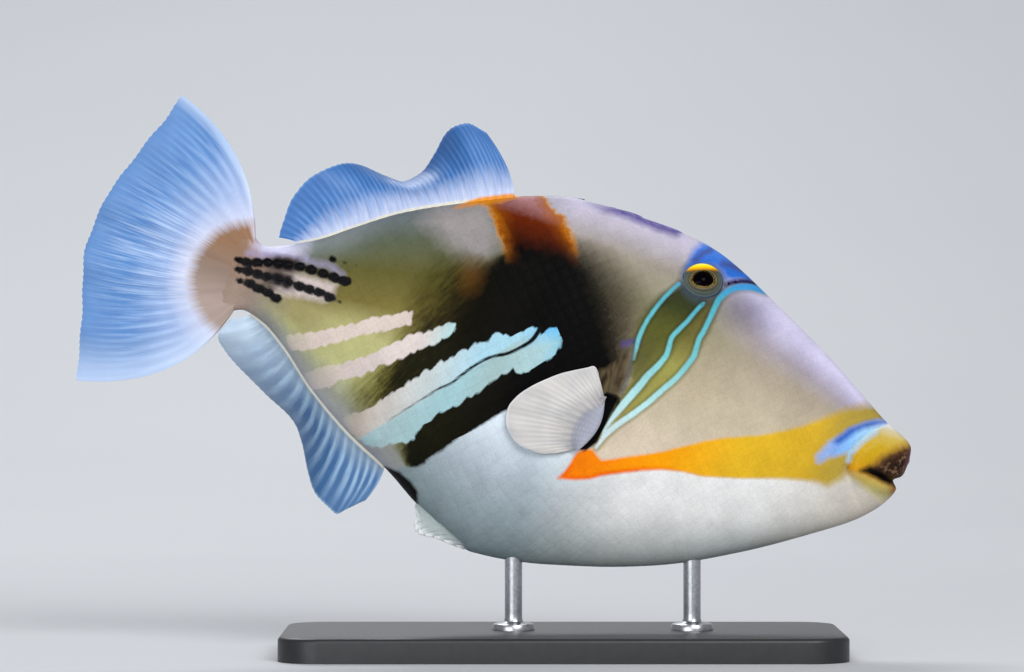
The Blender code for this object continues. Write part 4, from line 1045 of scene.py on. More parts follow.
def cut_out(piece, tools):
    """Takes blocks out of a piece and removes them."""
    cutters = bpy.data.collections.new("cutters")
    bpy.context.scene.collection.children.link(cutters)
    for tool in tools:
        for home in tool.users_collection:
            home.objects.unlink(tool)
        cutters.objects.link(tool)
    apply(piece, "BOOLEAN", operation="DIFFERENCE", solver="EXACT", operand_type="COLLECTION",
          collection=cutters)
    for tool in tools:
        bpy.data.objects.remove(tool)
    bpy.data.collections.remove(cutters)


def skin():
    """One closed skin from lips to tail stalk. Its rings run round the body, closest over the lips."""
    bpy.ops.mesh.primitive_uv_sphere_add(segments=SKIN_SIDES, ring_count=SKIN_RINGS)
    piece = named("skin")
    co = corners(piece)
    ring = np.arccos(np.clip(co[:, 2], -1, 1)) / math.pi * SKIN_RINGS
    turn = np.arctan2(co[:, 1], co[:, 0]) / math.tau % 1
    front = mix(body.SNOUT, SKIN_CLOSE_TO, ((ring - 1).clip(0) / (SKIN_CLOSE_RINGS - 1)) ** 1.7)
    rear = np.interp(ring, [SKIN_CLOSE_RINGS, SKIN_RINGS - 1, SKIN_RINGS],
                     [SKIN_CLOSE_TO, body.END, SKIN_POLES[1]])
    station = np.where(ring < SKIN_CLOSE_RINGS, np.where(ring < 0.5, SKIN_POLES[0], front), rear)
    share = np.where(turn <= 0.5, turn * 2, 2 - turn * 2)
    side = np.where(turn <= 0.5, 1, -1)
    points = body.at(station, share)
    way = body.out(station, share)
    height = points[:, 2]
    depth = sinks(station, height) + mouth_groove(station, height) - lip_swell(station, height)
    points = points - way * depth[:, None]
    points[:, 1] = np.maximum(points[:, 1], 0)
    points = points * np.stack([np.ones_like(side), side, np.ones_like(side)], 1)
    for end in (ring < 0.5, ring > SKIN_RINGS - 0.5):
        points[end, 1] = 0
        points[end, 2] = (back(station[end]) + belly(station[end])) / 2
    move(piece, posed(points))
    outward(piece)
    cut_out(piece, skin_cutters())
    smooth(piece, 40)
    mark(piece)
    at = places_of(piece)
    attribute(piece, "lips", crease_station(at[:, 2]) - at[:, 0])
    attribute(piece, "plate", np.full(len(at), 0.5))
    dress(piece, SKIN_FINISH)
    return done(piece, "skin_trunk", "head", "trunk", "tail_stalk", "lip_upper", "lip_lower")


# ---------------------------------------------------------------- scales
def bare(station, height):
    """Where no scale grows: lips, eyes, nostrils, gill slit, groove, scutes and the stalk's spines."""
    found = (station < crease_station(height) + 1.0) | (station > 197.5)
    found |= np.hypot(station - EYE_AT[0], height - EYE_AT[1]) < 6.4
    for s, h in NOSTRILS:
        found |= np.hypot(station - s, height - h) < 1.5
    slit = Field.outline(GILL_SLIT)
    found |= slit(station, height) > -1.0
    found |= (station > TRIGGER_SLOT[0] - 1) & (station < TRIGGER_SLOT[1]) & (height > back(station) - 1.2)
    for s, h, wide, tall in SCUTES:
        found |= np.hypot((station - s) / wide, (height - h) / tall) < 1.1
    return found


class Lattice:
    """Where the scales sit: u runs back along the body and v up round it, in millimetres of the largest."""

    ROWS = np.arange(-60, 61)

    def __init__(self):
        step = 0.25
        self.run = np.arange(0, 205, step)
        self.reach = np.concatenate([[0], np.cumsum(step / pitch((self.run[1:] + self.run[:-1]) / 2))])
        self.total = np.interp(self.run, body.stations, body.round)
        self.low = np.interp(self.run, body.stations, body.low)

    def place(self, u, v):
        """(station, share) of a place; the share isn't held between 0 and 1."""
        station = np.interp(u, self.reach, self.run)
        arc = v * pitch(station) + np.interp(station, self.run, self.low)
        return station, arc / np.interp(station, self.run, self.total)

    def middles(self, span):
        """u, v, station and height of every scale's middle between two stations."""
        columns = np.arange(2, int(self.reach[-1] / SCALE_ALONG * 2))
        u, v = np.meshgrid(columns * SCALE_ALONG / 2, self.ROWS * SCALE_UP / 2, indexing="ij")
        keep = (columns[:, None] + self.ROWS[None, :]) % 2 == 0
        u, v = u[keep], v[keep]
        station, share = self.place(u, v)
        margin = SCALE_UP * 0.45 * pitch(station) / np.interp(station, self.run, self.total)
        keep = (share > -margin) & (share < 1 + margin) & (station >= span[0]) & (station < span[1])
        height = body.at(station, np.clip(share, 0, 1))[:, 2]
        keep &= ~bare(station, height)
        return u[keep], v[keep], station[keep], height[keep]


class ScaleShape:
    """One scale's grid over a and b, -1 to 1 from edge to edge, and its skirt down into the skin."""

    ACROSS = 7  # points along an edge

    def __init__(self):
        line = np.linspace(-1, 1, self.ACROSS)
        a, b = (g.ravel() for g in np.meshgrid(line, line, indexing="ij"))
        index = np.arange(self.ACROSS**2).reshape(self.ACROSS, self.ACROSS)
        rim = np.concatenate([index[0, :-1], index[:-1, -1], index[-1, :0:-1], index[:0:-1, 0]])
        quads = np.stack([index[:-1, :-1], index[1:, :-1], index[1:, 1:], index[:-1, 1:]], -1).reshape(-1, 4)
        self.skirt = np.arange(len(rim)) + len(a)
        walls = np.stack([rim, np.roll(rim, -1), np.roll(self.skirt, -1), self.skirt], -1)
        self.faces = np.concatenate([quads, walls])
        self.sunk = np.arange(len(a) + len(rim)) >= len(a)  # True for the points of the skirt
        a, b = (np.concatenate([g, g[rim]]) for g in (a, b))
        self.a, self.b = a, b
        self.dome = (1 - np.abs(a) ** 3) * (1 - np.abs(b) ** 3)
        self.rim = np.maximum(np.abs(a), np.abs(b))
        # how far along u and up v, the scale's corners a little rounded
        wide_a, wide_b = a * np.sqrt(1 - 0.03 * b**2) * 1.008, b * np.sqrt(1 - 0.03 * a**2) * 1.008
        self.along, self.up = wide_a + wide_b, wide_a - wide_b


def scale_points(u, v, middle_station, side):
    """Every scale's points in the fish's frame, each scale a little larger or smaller and tilted."""
    shape = SCALE_SHAPE
    size = RNG.uniform(0.995, 1.01, (len(u), 1))
    tilt = RNG.uniform(-0.1, 0.1, (len(u), 2, 1))
    station, share = LATTICE.place(u[:, None] + SCALE_ALONG / 4 * shape.along[None, :] * size,
                                   v[:, None] + SCALE_UP / 4 * shape.up[None, :] * size)
    share = share.clip(0, 1)
    points, way = body.at(station, share), body.out(station, share)
    depth = sinks(station, points[..., 2])
    relief = 0.3 * (1 - shape.dome) * ease(pitch(middle_station), 0.3, 0.9)[:, None]
    top = 0.012 + depth * (relief + 0.3 * np.abs(tilt[:, 0] * shape.a + tilt[:, 1] * shape.b))
    points = points - way * np.where(shape.sunk, depth + 0.12, top)[..., None]
    points[..., 1] = np.maximum(points[..., 1], 0) * side
    return points


def scale_unwrap(mesh, middle_station, v):
    """Each scale's own small patch on an unwrap of the body."""
    shape = SCALE_SHAPE
    layer = mesh.uv_layers.new(name="OFBake")
    loops = np.empty(len(mesh.loops), int)
    mesh.loops.foreach_get("vertex_index", loops)
    patch = np.stack([middle_station / 210 + 0.02, (v * pitch(middle_station) + 62) / 130], -1)[:, None, :]
    patch = patch + np.stack([shape.along, shape.up], -1)[None] * 0.00075
    layer.uv.foreach_set("vector", patch.reshape(-1, 2)[loops].astype(np.float32).ravel())


def scales(name, side, span):
    """Rhombic scales laid edge to edge over one flank between two stations."""
    shape = SCALE_SHAPE
    u, v, middle_station, middle_height = LATTICE.middles(span)
    points = scale_points(u, v, middle_station, side)
    first = np.arange(len(u)) * len(shape.a)
    faces = (shape.faces[None] + first[:, None, None]).reshape(-1, 4)
    bottoms = shape.skirt[None, ::-1] + first[:, None]
    mesh = bpy.data.meshes.new(name)
    mesh.from_pydata(posed(points.reshape(-1, 3)), [], faces.tolist() + bottoms.tolist())
    piece = bpy.data.objects.new(name, mesh)
    bpy.context.scene.collection.objects.link(piece)
    own = points[..., ::2]
    middle = np.stack([middle_station, middle_height], -1)[:, None, :]
    mark(piece, mix(own, middle, 0.14).reshape(-1, 2))
    attribute(piece, "lips", np.full(own.shape[:2], NO_LIPS))
    attribute(piece, "plate", np.broadcast_to(RNG.uniform(0, 1, (len(u), 1)), own.shape[:2]))
    attribute(piece, "rim", np.broadcast_to(shape.rim, own.shape[:2]))
    scale_unwrap(mesh, middle_station, v)
    work = bmesh.new()
    work.from_mesh(mesh)
    bmesh.ops.dissolve_degenerate(work, dist=2e-6, edges=work.edges)
    bmesh.ops.recalc_face_normals(work, faces=work.faces)
    work.to_mesh(mesh)
    work.free()
    smooth(piece, 60)
    dress(piece, SCALE_FINISH)
    return done(piece, "skin_trunk" if span[0] > 0 else "skin_head")


LATTICE, SCALE_SHAPE = Lattice(), ScaleShape()
NO_LIPS = -20.0  # the "lips" attribute away from the lips, as if well behind their crease


# ---------------------------------------------------------------- fins
MEMBRANE = 0.42  # the web's least thickness
RAY_RUN, RAY_BOW = 0.42, 0.16  # where a ray bends: how far out and how far forward, as shares of its length
FRILLS = 48  # waves along a fin's outer edge
TAIL_EDGE = [(-47.5, 235.1), (-36.2, 237.3), (-27.8, 239.2), (-20.9, 241.2), (-9.1, 243.5), (1.6, 242.6),
             (8.4, 241.0), (17.4, 237.7), (25.9, 234.3), (32, 231.7), (39.5, 229.4)]  # (height, station)
SIDE_FIN_TIPS = [(92.7, -2.6), (94.3, -1.2), (96.4, -2.3), (99.6, -4.0), (102.8, -5.9), (106.4, -8.7),
                 (109.9, -11.9), (112.9, -15.8), (114.2, -19.3), (113.7, -22.9), (111.5, -26.2),
                 (107.6, -28.6), (102.4, -29.2), (97.2, -27.6)]


def rays(t, r, count, branches):
    """How much a place lies on a ray, -1 to 1: rays that branch in two, once or twice, on their way out."""
    once = np.cos(math.tau * t * count)
    if branches == 0:
        return once
    twice = np.cos(math.tau * t * count * 2 + math.pi)
    wave = mix(once, twice, ease(r, 0.28, 0.5))
    if branches == 2:
        wave = mix(wave, np.cos(math.tau * t * count * 4 + math.pi), ease(r, 0.58, 0.85))
    return wave


def sheet(name, columns, rows):
    """A flat grid, and the shares t across it and r up it of its vertices."""
    bpy.ops.mesh.primitive_grid_add(x_subdivisions=columns, y_subdivisions=rows, size=2)
    piece = named(name)
    co = corners(piece)
    return piece, (co[:, 0] + 1) / 2, (co[:, 1] + 1) / 2


def fin(name, centre, thickness, columns, rows, count, branches, rise=0.22):
    """A fin on a grid: centre(t, r) is its middle at share t across its rays and r out along them. A ray is
    rise thicker than the web, which is thickness(t, r) thicker than its least."""
    piece, t, r = sheet(name, columns, rows)
    wave = rays(t, r, count, branches)
    thick = thickness(t, r) + MEMBRANE + rise * (0.5 + 0.5 * wave) * (1 - 0.6 * r)
    thick = thick * mix(1, 0.35, ease(r, 0.965, 1.0)) * mix(0.5, 1, ease(np.minimum(t, 1 - t), 0, 0.012))
    move(piece, posed(centre(t, r)))
    attribute(piece, "across", t)
    attribute(piece, "out", r)
    attribute(piece, "ray", wave)
    thicken(piece, thick)
    station, _, height = places_of(piece).T
    attribute(piece, "station", station)
    attribute(piece, "height", height)
    attribute(piece, "sliver", STEPPED["sliver"](station, height))
    attribute(piece, "flesh", CLEAN["flesh"](station, height))
    attribute(piece, "clear", np.maximum(height - back(station), belly(station) - height))
    smooth(piece, 60)
    return piece


def web(piece, material, node):
    """Finishes a fin, which stands in for a solid."""
    dress(piece, material)
    return done(piece, "fin_membrane", node)


def bowed(root, bend, tip, r):
    """Points at shares r of curves from a root to a tip that bend towards a third point."""
    r = r[:, None]
    return root * (1 - r) ** 2 + bend * 2 * r * (1 - r) + tip * r**2


def edge_centre(span, line, up, length, sweep, lean, sunk=0.9):
    """The middle of a fin along the back or the belly. Its rays' length, their sweep to the rear and their
    lean to the left, both in degrees, are each given as (share of the span, value)."""
    length, sweep, lean = Line(length), Line(sweep), Line(lean)

    def frill(t):
        return 0.08 * np.cos(math.tau * t * FRILLS) * ease(t, 0, 0.1)

    def centre(t, r):
        station = mix(span[0], span[1], t)
        swept, leant, long = np.radians(sweep(t)), np.radians(lean(t)), length(t)
        zero = np.zeros_like(t)
        root = np.stack([station, zero, line(station) - up * sunk], -1)
        flat = np.stack([np.sin(swept), zero, up * np.cos(swept)], -1)
        ahead = np.stack([-np.cos(swept), zero, up * np.sin(swept)], -1)
        bend = root + (flat * RAY_RUN + ahead * RAY_BOW) * long[:, None]
        outward_way = flat * np.cos(leant)[:, None] + np.stack([zero, np.sin(leant), zero], -1)
        tip = root + outward_way * (long + sunk + frill(t))[:, None]
        return bowed(root, bend, tip, r)

    return centre


def tail_centre(t, r):
    """The tail fin's middle, from its upper edge to its lower: swung to the left and gently waved."""
    zero = np.zeros_like(t)
    root = np.stack([np.full_like(t, 197.2), zero, mix(6.6, -15.6, t)], -1)
    bow = np.stack([204.7 + 16.5 * np.sin(math.pi * t), zero, mix(31.0, -41.6, t)], -1)
    height = mix(TAIL_EDGE[-1][0], TAIL_EDGE[0][0], t)
    frill = 0.1 * np.cos(math.tau * t * FRILLS) + 0.12 * np.sin(math.tau * t * 7.3)
    tip = np.stack([Line(TAIL_EDGE)(height) - 0.2 + frill, zero, height], -1)
    points = bowed(root, bow, tip, r)
    out = np.clip((points[:, 0] - 198.5) / 45, 0, None)
    points[:, 1] = 5 * out**2 + 0.9 * out * np.sin(math.tau * 4.5 * t)
    return points


class ShareTable:
    """Body.share_of over the part of the flank that the side fins cover, for many places at once."""

    STATIONS, HEIGHTS = np.linspace(60, 130, 71), np.linspace(-35, 15, 101)  # 1 mm and 0.5 mm apart

    def __init__(self):
        self.table = body.share_of(*np.meshgrid(self.STATIONS, self.HEIGHTS, indexing="ij"))

    def __call__(self, station, height):
        i = np.clip(station - self.STATIONS[0], 0, len(self.STATIONS) - 1.001)
        j = np.clip((height - self.HEIGHTS[0]) / 0.5, 0, len(self.HEIGHTS) - 1.001)
        return bilinear(self.table, i, j)


shares_at = ShareTable()


def side_fin_centre(side):
    """The middle of a side fin, which lies back along its flank."""

    def centre(t, r):
        tip_station, tip_height = along(SIDE_FIN_TIPS, t)
        # the fleshy lobe bows forward
        root_station = mix(89.4, 91.7, t) - 2.5 * np.sin(math.pi * t.clip(0, 1)) ** 0.75
        root_height = mix(-8.8, -24.7, t)
        station = mix(root_station, tip_station, r)
        height = mix(root_height, tip_height, r) + 0.5 * r * (1 - r) * 4 * np.sin(math.pi * t)
        lift = 1.3 * r**1.2 * (0.5 + 0.5 * np.sin(math.pi * t))
        wave = 0.2 * r * np.sin(math.tau * 2.7 * t) + 0.16 * ease(r, 0.6, 1) * np.sin(math.tau * 7 * t + 1)
        flank = body.at(station, shares_at(station, height))[:, 1]
        return np.stack([station, side * (flank + 0.9 + lift + wave), height], -1)

    return centre


# ---------------------------------------------------------------- eyes
ORBIT = 6.0, 5.3  # half the lids' width and height
OPENING = 3.5, 2.35  # half their opening's
EYE_TWIST = math.radians(18)  # the opening's rear end lies lower than the body's axis has it
CORNEA_BULGE, CORNEA_RADIUS = 0.3, 3.6  # the clear front's height over the ball, and its reach
LID_FOLDS = 0.3, 0.62  # shares of the way from a lid's outer edge to its opening


def eye_frame(side):
    """Where an eye sits on the skin, and the way it looks."""
    at, way = on_flank(*EYE_AT, side)
    look = unit(way + np.array((0, side * EYE_OUTWARD, 0)))
    return at, look


def twisted(co, side):
    """Turned about the way the eye looks, as far as the opening is."""
    c, s = math.cos(EYE_TWIST * side), math.sin(EYE_TWIST * side)
    return np.stack([co[:, 0] * c - co[:, 1] * s, co[:, 0] * s + co[:, 1] * c, co[:, 2]], -1)


def eye(side, label):
    """An eyeball, with the distance from the pupil's middle on its front."""
    at, look = eye_frame(side)
    bpy.ops.mesh.primitive_uv_sphere_add(segments=96, ring_count=96, radius=EYE_RADIUS)
    piece = named(f"eye_ball_{label}")
    co = corners(piece)
    off = np.hypot(co[:, 0], co[:, 1])
    # the clear front bulges a little over the iris, and the pupil is wider than tall
    bulge = CORNEA_BULGE * (1 - np.minimum(off / CORNEA_RADIUS, 1) ** 2) ** 2
    co[:, 2] += np.where(co[:, 2] > 0, bulge, 0)
    attribute(piece, "off", np.where(co[:, 2] > 0, np.hypot(co[:, 0] * 0.72, co[:, 1] - 0.25), 9))
    move(piece, posed(at - look * EYE_SUNK + twisted(co, side) @ faced(look).T))
    outward(piece)
    smooth(piece)
    dress(piece, EYE_FINISH)
    return done(piece, "eye", f"eye_{label}")


def lids(side, label):
    """The ring of skin round an eye. Its share runs from 0 at the outer edge to 1 at the opening."""
    at, look = eye_frame(side)
    bpy.ops.mesh.primitive_torus_add(major_segments=128, minor_segments=28, major_radius=LID_RING,
                                     minor_radius=LID_THICK)
    piece = named(f"eye_lids_{label}")
    co = corners(piece)
    turn = np.arctan2(co[:, 1], co[:, 0])
    around = np.arctan2(co[:, 2], np.hypot(co[:, 0], co[:, 1]) - LID_RING)
    # the opening is wide and low, so the lids are broad above and below and narrow at its ends
    inner, outer = (1 / np.hypot(np.cos(turn) / wide, np.sin(turn) / tall) for wide, tall in (OPENING, ORBIT))
    share = (1 - np.cos(around)) / 2
    off = mix(outer, inner, share) + 0.03 * np.sin(turn * 31) * share
    ball = np.sqrt(EYE_RADIUS**2 - inner**2) - EYE_SUNK
    bulge = 0.32 + 0.5 * np.maximum(np.sin(turn), 0) ** 1.5 + 0.2 * np.maximum(-np.sin(turn), 0)
    rise = mix(-0.25, ball + 0.05, share) + bulge * np.sin(around)
    # folds round the lower lid
    folds = sum(np.exp(-(((share - fold) / 0.07) ** 2)) for fold in LID_FOLDS)
    rise = rise - 0.09 * folds * (np.sin(around) > 0) * ease(np.sin(turn), 0.4, 0.1)
    attribute(piece, "share", share)
    attribute(piece, "lid_up", off * np.sin(turn))
    co = np.stack([off * np.cos(turn), off * np.sin(turn) + 0.15 * share, rise], -1)
    move(piece, posed(at + look * 0.1 + twisted(co, side) @ faced(look).T))
    outward(piece)
    smooth(piece)
    dress(piece, LID_FINISH)
    return done(piece, "skin_head")


def eye_finish():
    """A dark wide pupil in a thin pale ring, and an olive mottled iris."""
    f = Finish("eye_wet", Roughness=0.08, IOR=1.38, Specular_IOR_Level=0.03)
    at, off = f.place(), f.attribute("off")
    fleck = f.noise(at, 0.3, 4, 0.6)
    iris = f.ramp(off + (fleck - 0.5) * 0.35, [
        (2.02, 6, 3, 7), (2.16, 34, 24, 12), (2.3, 140, 112, 54), (2.42, 186, 164, 102),
        (2.54, 80, 66, 36), (3.0, 30, 25, 15), (3.4, 14, 12, 9), (5.0, 8, 8, 8)])
    f.set(Base_Color=f.tinted(iris, fleck.over(0.6, 0.42) * 0.85, paint(100, 84, 56)))
    return f.material


def lid_finish():
    """Ringed grey-green skin, yellow on the upper lid."""
    f = Finish("eye_lid_skin", IOR=1.4, Specular_IOR_Level=0.1)
    at, share, lid_up = f.place(), f.attribute("share"), f.attribute("lid_up")
    grain = f.noise(at, 0.4, 3)
    grey = f.ramp(share + (grain - 0.5) * 0.2, [
        (0.0, 38, 50, 84), (0.1, 50, 64, 84), (0.22, 80, 90, 88), (0.34, 58, 68, 70), (0.5, 80, 84, 70),
        (0.64, 52, 57, 48), (0.8, 84, 80, 60), (0.92, 112, 98, 64), (0.98, 36, 29, 20)])
    yellow = f.ramp(lid_up + (grain - 0.5) * 0.25, [
        (2.0, 60, 50, 34), (2.6, 120, 84, 22), (3.1, 206, 140, 6), (3.7, 242, 196, 8), (4.4, 250, 228, 50),
        (5.2, 246, 240, 150)])
    yellow = f.mix(share.over(0.16, 0.08), yellow, paint(84, 104, 134))
    yellow = f.mix(share.over(0.9, 0.98), yellow, paint(24, 17, 12))
    colour = f.mix((lid_up + (grain - 0.5) * 0.3).over(1.7, 2.9), grey, yellow)
    f.set(Base_Color=colour, Roughness=grain * 0.15 + 0.32)
    f.bump(grain, 0.05, 0.8)
    return f.material


# ---------------------------------------------------------------- spines, scutes, flap
STALK_SPINES_TO = 198.4  # station; nearer the tail fin the rows have only their dark spots
SPINE_RADIUS, SPINE_TALL, SPINE_LEAN, SPINE_SUNK = 0.95, 1.5, 1.25, 0.55
SPINE_OVAL = 1.15, 0.8  # shares of its radius along the row and across it


def stalk_spine(station, height, side, size):
    """One spine on the tail stalk, curved forward."""
    at, way = on_flank(station, height, side)
    bpy.ops.mesh.primitive_cone_add(vertices=10, radius1=SPINE_RADIUS * size, radius2=0, depth=1)
    piece = named("stalk_spine")
    edit(piece, (bpy.ops.mesh.subdivide, {"number_cuts": 3}))
    co = corners(piece)
    rise = co[:, 2] + 0.5
    angle = np.arctan2(co[:, 1], co[:, 0])
    off = SPINE_RADIUS * size * (1 - rise) ** 0.8
    to_rear = off * np.cos(angle) * SPINE_OVAL[0] - SPINE_LEAN * size * rise**1.8
    to_side = off * np.sin(angle) * SPINE_OVAL[1]
    places = np.stack([to_rear, to_side, rise * SPINE_TALL * size - SPINE_SUNK], -1)
    along_row = unit(np.array((1.0, 0, 0)) - way * way[0])
    move(piece, posed(at + places @ np.stack([along_row, np.cross(way, along_row), way])))
    return piece


def stalk_spines():
    """Black spines in three rows on each side of the tail stalk, largest in the middle of a row."""
    spines = []
    for side in (1, -1):
        for row in STALK_ROWS:
            for i, (station, height) in enumerate(row):
                size = 0.8 + 0.25 * math.sin(math.pi * (i + 0.5) / len(row))
                if station <= STALK_SPINES_TO:
                    spines.append(stalk_spine(station, height, side, size))
    piece = joined("stalk_spines", spines)
    smooth(piece, 50)
    dress(piece, SPINE_FINISH)
    return done(piece, "spine")


def joined(name, pieces):
    """Several pieces as one."""
    bpy.ops.object.select_all(action="DESELECT")
    for piece in pieces:
        piece.select_set(True)
    bpy.context.view_layer.objects.active = pieces[0]
    bpy.ops.object.join()
    piece = named(name)
    outward(piece)
    return piece


def gill_scute(station, height, wide, tall, side):
    """One enlarged bony plate, domed and grooved from its middle."""
    at, way = on_flank(station, height, side)
    bpy.ops.mesh.primitive_circle_add(vertices=36, radius=1, fill_type="TRIFAN")
    piece = named("scute")
    edit(piece, (bpy.ops.mesh.subdivide, {"number_cuts": 4}))
    co = corners(piece)
    off = np.hypot(co[:, 0], co[:, 1])
    angle = np.arctan2(co[:, 1], co[:, 0])
    grooves = 0.04 * np.cos(angle * 7 + station) * off * (1 - off)
    co[:, 2] = 0.3 * (1 - np.clip(off, 0, 1) ** 2) - 0.18 + grooves
    shape = 1 + 0.06 * np.cos(angle * 4 + station) + 0.05 * np.cos(angle * 3 + height)
    co[:, :2] *= shape[:, None] * (wide, tall)
    move(piece, posed(at + co @ faced(way).T))
    apply(piece, "SOLIDIFY", thickness=0.5 * MM, offset=-1 if side > 0 else 1)
    return piece


def gill_scutes():
    """The enlarged plates behind the gill slits."""
    piece = joined("gill_scutes", [gill_scute(*scute, side) for side in (1, -1) for scute in SCUTES])
    smooth(piece, 60)
    mark(piece)
    attribute(piece, "lips", np.full(len(piece.data.vertices), NO_LIPS))
    attribute(piece, "plate", np.full(len(piece.data.vertices), 0.8))
    dress(piece, SKIN_FINISH)
    return done(piece, "skin_trunk")


def folded_spines():
    """The three spines of the first back fin, lying back in their groove."""
    spines = []
    for start, end, wide, tall in TRIGGER_SPINES:
        bpy.ops.mesh.primitive_uv_sphere_add(segments=28, ring_count=60)
        piece = named("folded_spine")
        co = corners(piece)
        t = np.arccos(np.clip(co[:, 2], -1, 1)) / math.pi
        angle = np.arctan2(co[:, 1], co[:, 0])
        station = mix(start, end, t)
        # round at its root and drawn out to a point
        girth = np.sqrt(np.clip(1 - ((0.12 - t).clip(0) / 0.12) ** 2, 0, 1)) * (1 - t**2.2) ** 0.6
        low = mix(1.0, 0.6, t)
        middle = back(station) - TRIGGER_SLOT_DEPTH + 0.25 + tall / 2 * low
        knobs = 1 + 0.07 * np.cos(angle * 7) * ease(t, 0.05, 0.2)
        move(piece, posed(np.stack([station, wide / 2 * girth * np.cos(angle) * knobs,
                                    middle + tall / 2 * low * girth * np.sin(angle) * knobs], -1)))
        spines.append(piece)
    piece = joined("back_spines", spines)
    smooth(piece)
    dress(piece, BACK_SPINE_FINISH)
    return done(piece, "spine", "trigger_spines")


FLAP_TIPS = [(114.5, -62.0), (119.2, -61.7), (123.9, -61.2), (126.9, -61.5), (129.4, -60.8), (130.4, -59.0),
             (129.9, -57.5), (131.6, -54.6)]
FLAP_FOLDS = 9


def flap():
    """The blade of skin behind the belly's lowest point, with its rough bony tip."""
    piece, t, r = sheet("pelvic_flap_skin", 70, 26)
    low_station, low = along(FLAP_TIPS, t)
    top_station = mix(113.5, 131.4, t)
    top = belly(top_station) + 1.2
    low = np.minimum(low, top - 0.8)
    folds = np.cos(math.tau * t * FLAP_FOLDS) * ease(r, 0.2, 0.7)
    edge = 0.25 * np.cos(math.tau * t * FLAP_FOLDS + 1) * ease(t, 0.3, 0.6)
    station, height = mix(top_station, low_station, r), mix(top, low + edge * r, r)
    move(piece, posed(np.stack([station, 0.12 * folds, height], -1)))
    thick = mix(4.8, 1.0, r**0.5) * mix(1, 0.7, t) * (1 + 0.1 * folds)
    thick = thick * mix(1, 0.4, ease(r, 0.94, 1)) * mix(0.5, 1, ease(np.minimum(t, 1 - t), 0, 0.05))
    attribute(piece, "out", r)
    attribute(piece, "across", t)
    thicken(piece, thick)
    smooth(piece, 60)
    dress(piece, FLAP_FINISH)
    return done(piece, "skin_pelvic_flap", "pelvic_flap")


def plain_finish(name, low, high, size, roughness, relief, **settings):
    """A mottled finish between two colours."""
    f = Finish(name, **settings)
    at = f.place()
    cloud, grain = f.noise(at, size, 4), f.noise(at, size / 5, 3)
    f.set(Base_Color=f.mix(cloud.over(0.3, 0.7), low, high), Roughness=grain * 0.15 + roughness)
    f.bump(grain, relief, 0.7)
    return f.material


def flap_finish():
    """Rough skin, grey near the body as painted shade like the belly's underside, nearly white at its tip."""
    f = Finish("flap_skin", IOR=1.42)
    at, out, across = f.place(), f.attribute("out"), f.attribute("across")
    grain = f.noise(at, 0.5, 3)
    # grey towards the body: painted shade, matching the belly's underside
    colour = f.mix((out + (grain - 0.5) * 0.3 - across * 0.2).over(0.5, 0.9), paint(168, 178, 178),
                   paint(236, 238, 240))
    colour = f.tinted(colour, grain.over(0.6, 0.3) * 0.3, paint(196, 196, 196))
    f.set(Base_Color=colour, Roughness=grain * 0.1 + 0.45)
    f.bump(f.cells(at, 0.7), 0.05, 0.8)
    return f.material


# ---------------------------------------------------------------- fin finishes
class FinFinish(Finish):
    """The finish of a ray fin: pale rays, the web between them, and about spread fine strands across it."""

    def __init__(self, name, on_rays, between, spread):
        super().__init__(name, IOR=1.42, Specular_IOR_Level=0.4)
        at = self.place()
        self.out, self.across, self.ray = (self.attribute(name) for name in ("out", "across", "ray"))
        self.cloud, self.grain = self.noise(at, 6, 4), self.noise(at, 0.6, 3)
        self.on_rays = on_rays
        self.strands = self.noise(self.along(self.across * spread, self.out * 2.2), 1.0, 3, 0.6)
        rings = (self.out * 150 + (self.grain - 0.5) * 3).maths("SINE")
        self.joints = rings.over(0.6, 0.98) * self.ray.over(0.3, 0.9)
        on_ray = self.ray * 0.7 + self.strands.over(0.3, 0.7) * 1.1 - 0.4
        self.colour = self.mix(on_ray.over(-0.2, 1.0) * self.out.over(1.1, 0.5), between, on_rays)

    def fading_root(self, root, reach):
        """The root's colour, which fades out strand by strand up to a share of the rays' length."""
        self.lay((self.out + (self.strands - 0.5) * 0.5).over(reach, 0.0), root)

    def last_coats(self, rim, rim_reach, rim_share):
        """The coloured rim, the rays' joints, and the mottling of the whole fin."""
        self.lay(self.out.over(rim_reach, 1.0) * rim_share, rim)
        self.lay(self.joints * 0.3 * self.out.over(0.95, 0.6), self.on_rays)
        self.shade(self.cloud.over(0.6, 0.3) * 0.35, paint(206, 212, 228))

    def made(self):
        """The material, once all its colours are laid."""
        self.set(Base_Color=self.colour, Roughness=self.grain * 0.14 + 0.38)
        self.bump(self.strands * 0.8 + self.grain * 0.2 + self.joints * 0.3, 0.08, 0.7)
        return self.material


def edge_fin_finish(name, on_rays, between, root, rim, root_reach, spread, behind=0.0):
    """A fin along the back or the belly, which pales towards its rear as far as behind says."""
    f = FinFinish(name, on_rays, between, spread)
    f.lay(f.across.over(0.55, 0.9) * behind, paint(196, 212, 226))
    f.fading_root(root, root_reach)
    f.lay(f.attribute("clear").over(0.8, 0.4), paint(212, 208, 192))
    f.lay(f.attribute("sliver").edge(0.4), paint(220, 136, 14))
    f.last_coats(rim, 0.97, 0.6)
    return f.made()


def side_fin_finish():
    """A whitish fin on a grey lobe."""
    f = FinFinish("side_fin_web", paint(212, 207, 200), paint(192, 188, 184), 46)
    root = f.mix(f.out.over(0.0, 0.24), paint(166, 168, 182), paint(138, 139, 148))
    f.shade(f.out.over(0.55, 0.2) * 0.8, paint(184, 184, 190))
    f.lay((f.out - f.across.over(0.08, 0.42) * 0.24).over(0.03, -0.03), root)
    f.last_coats(paint(218, 217, 220), 0.97, 0.6)
    return f.made()


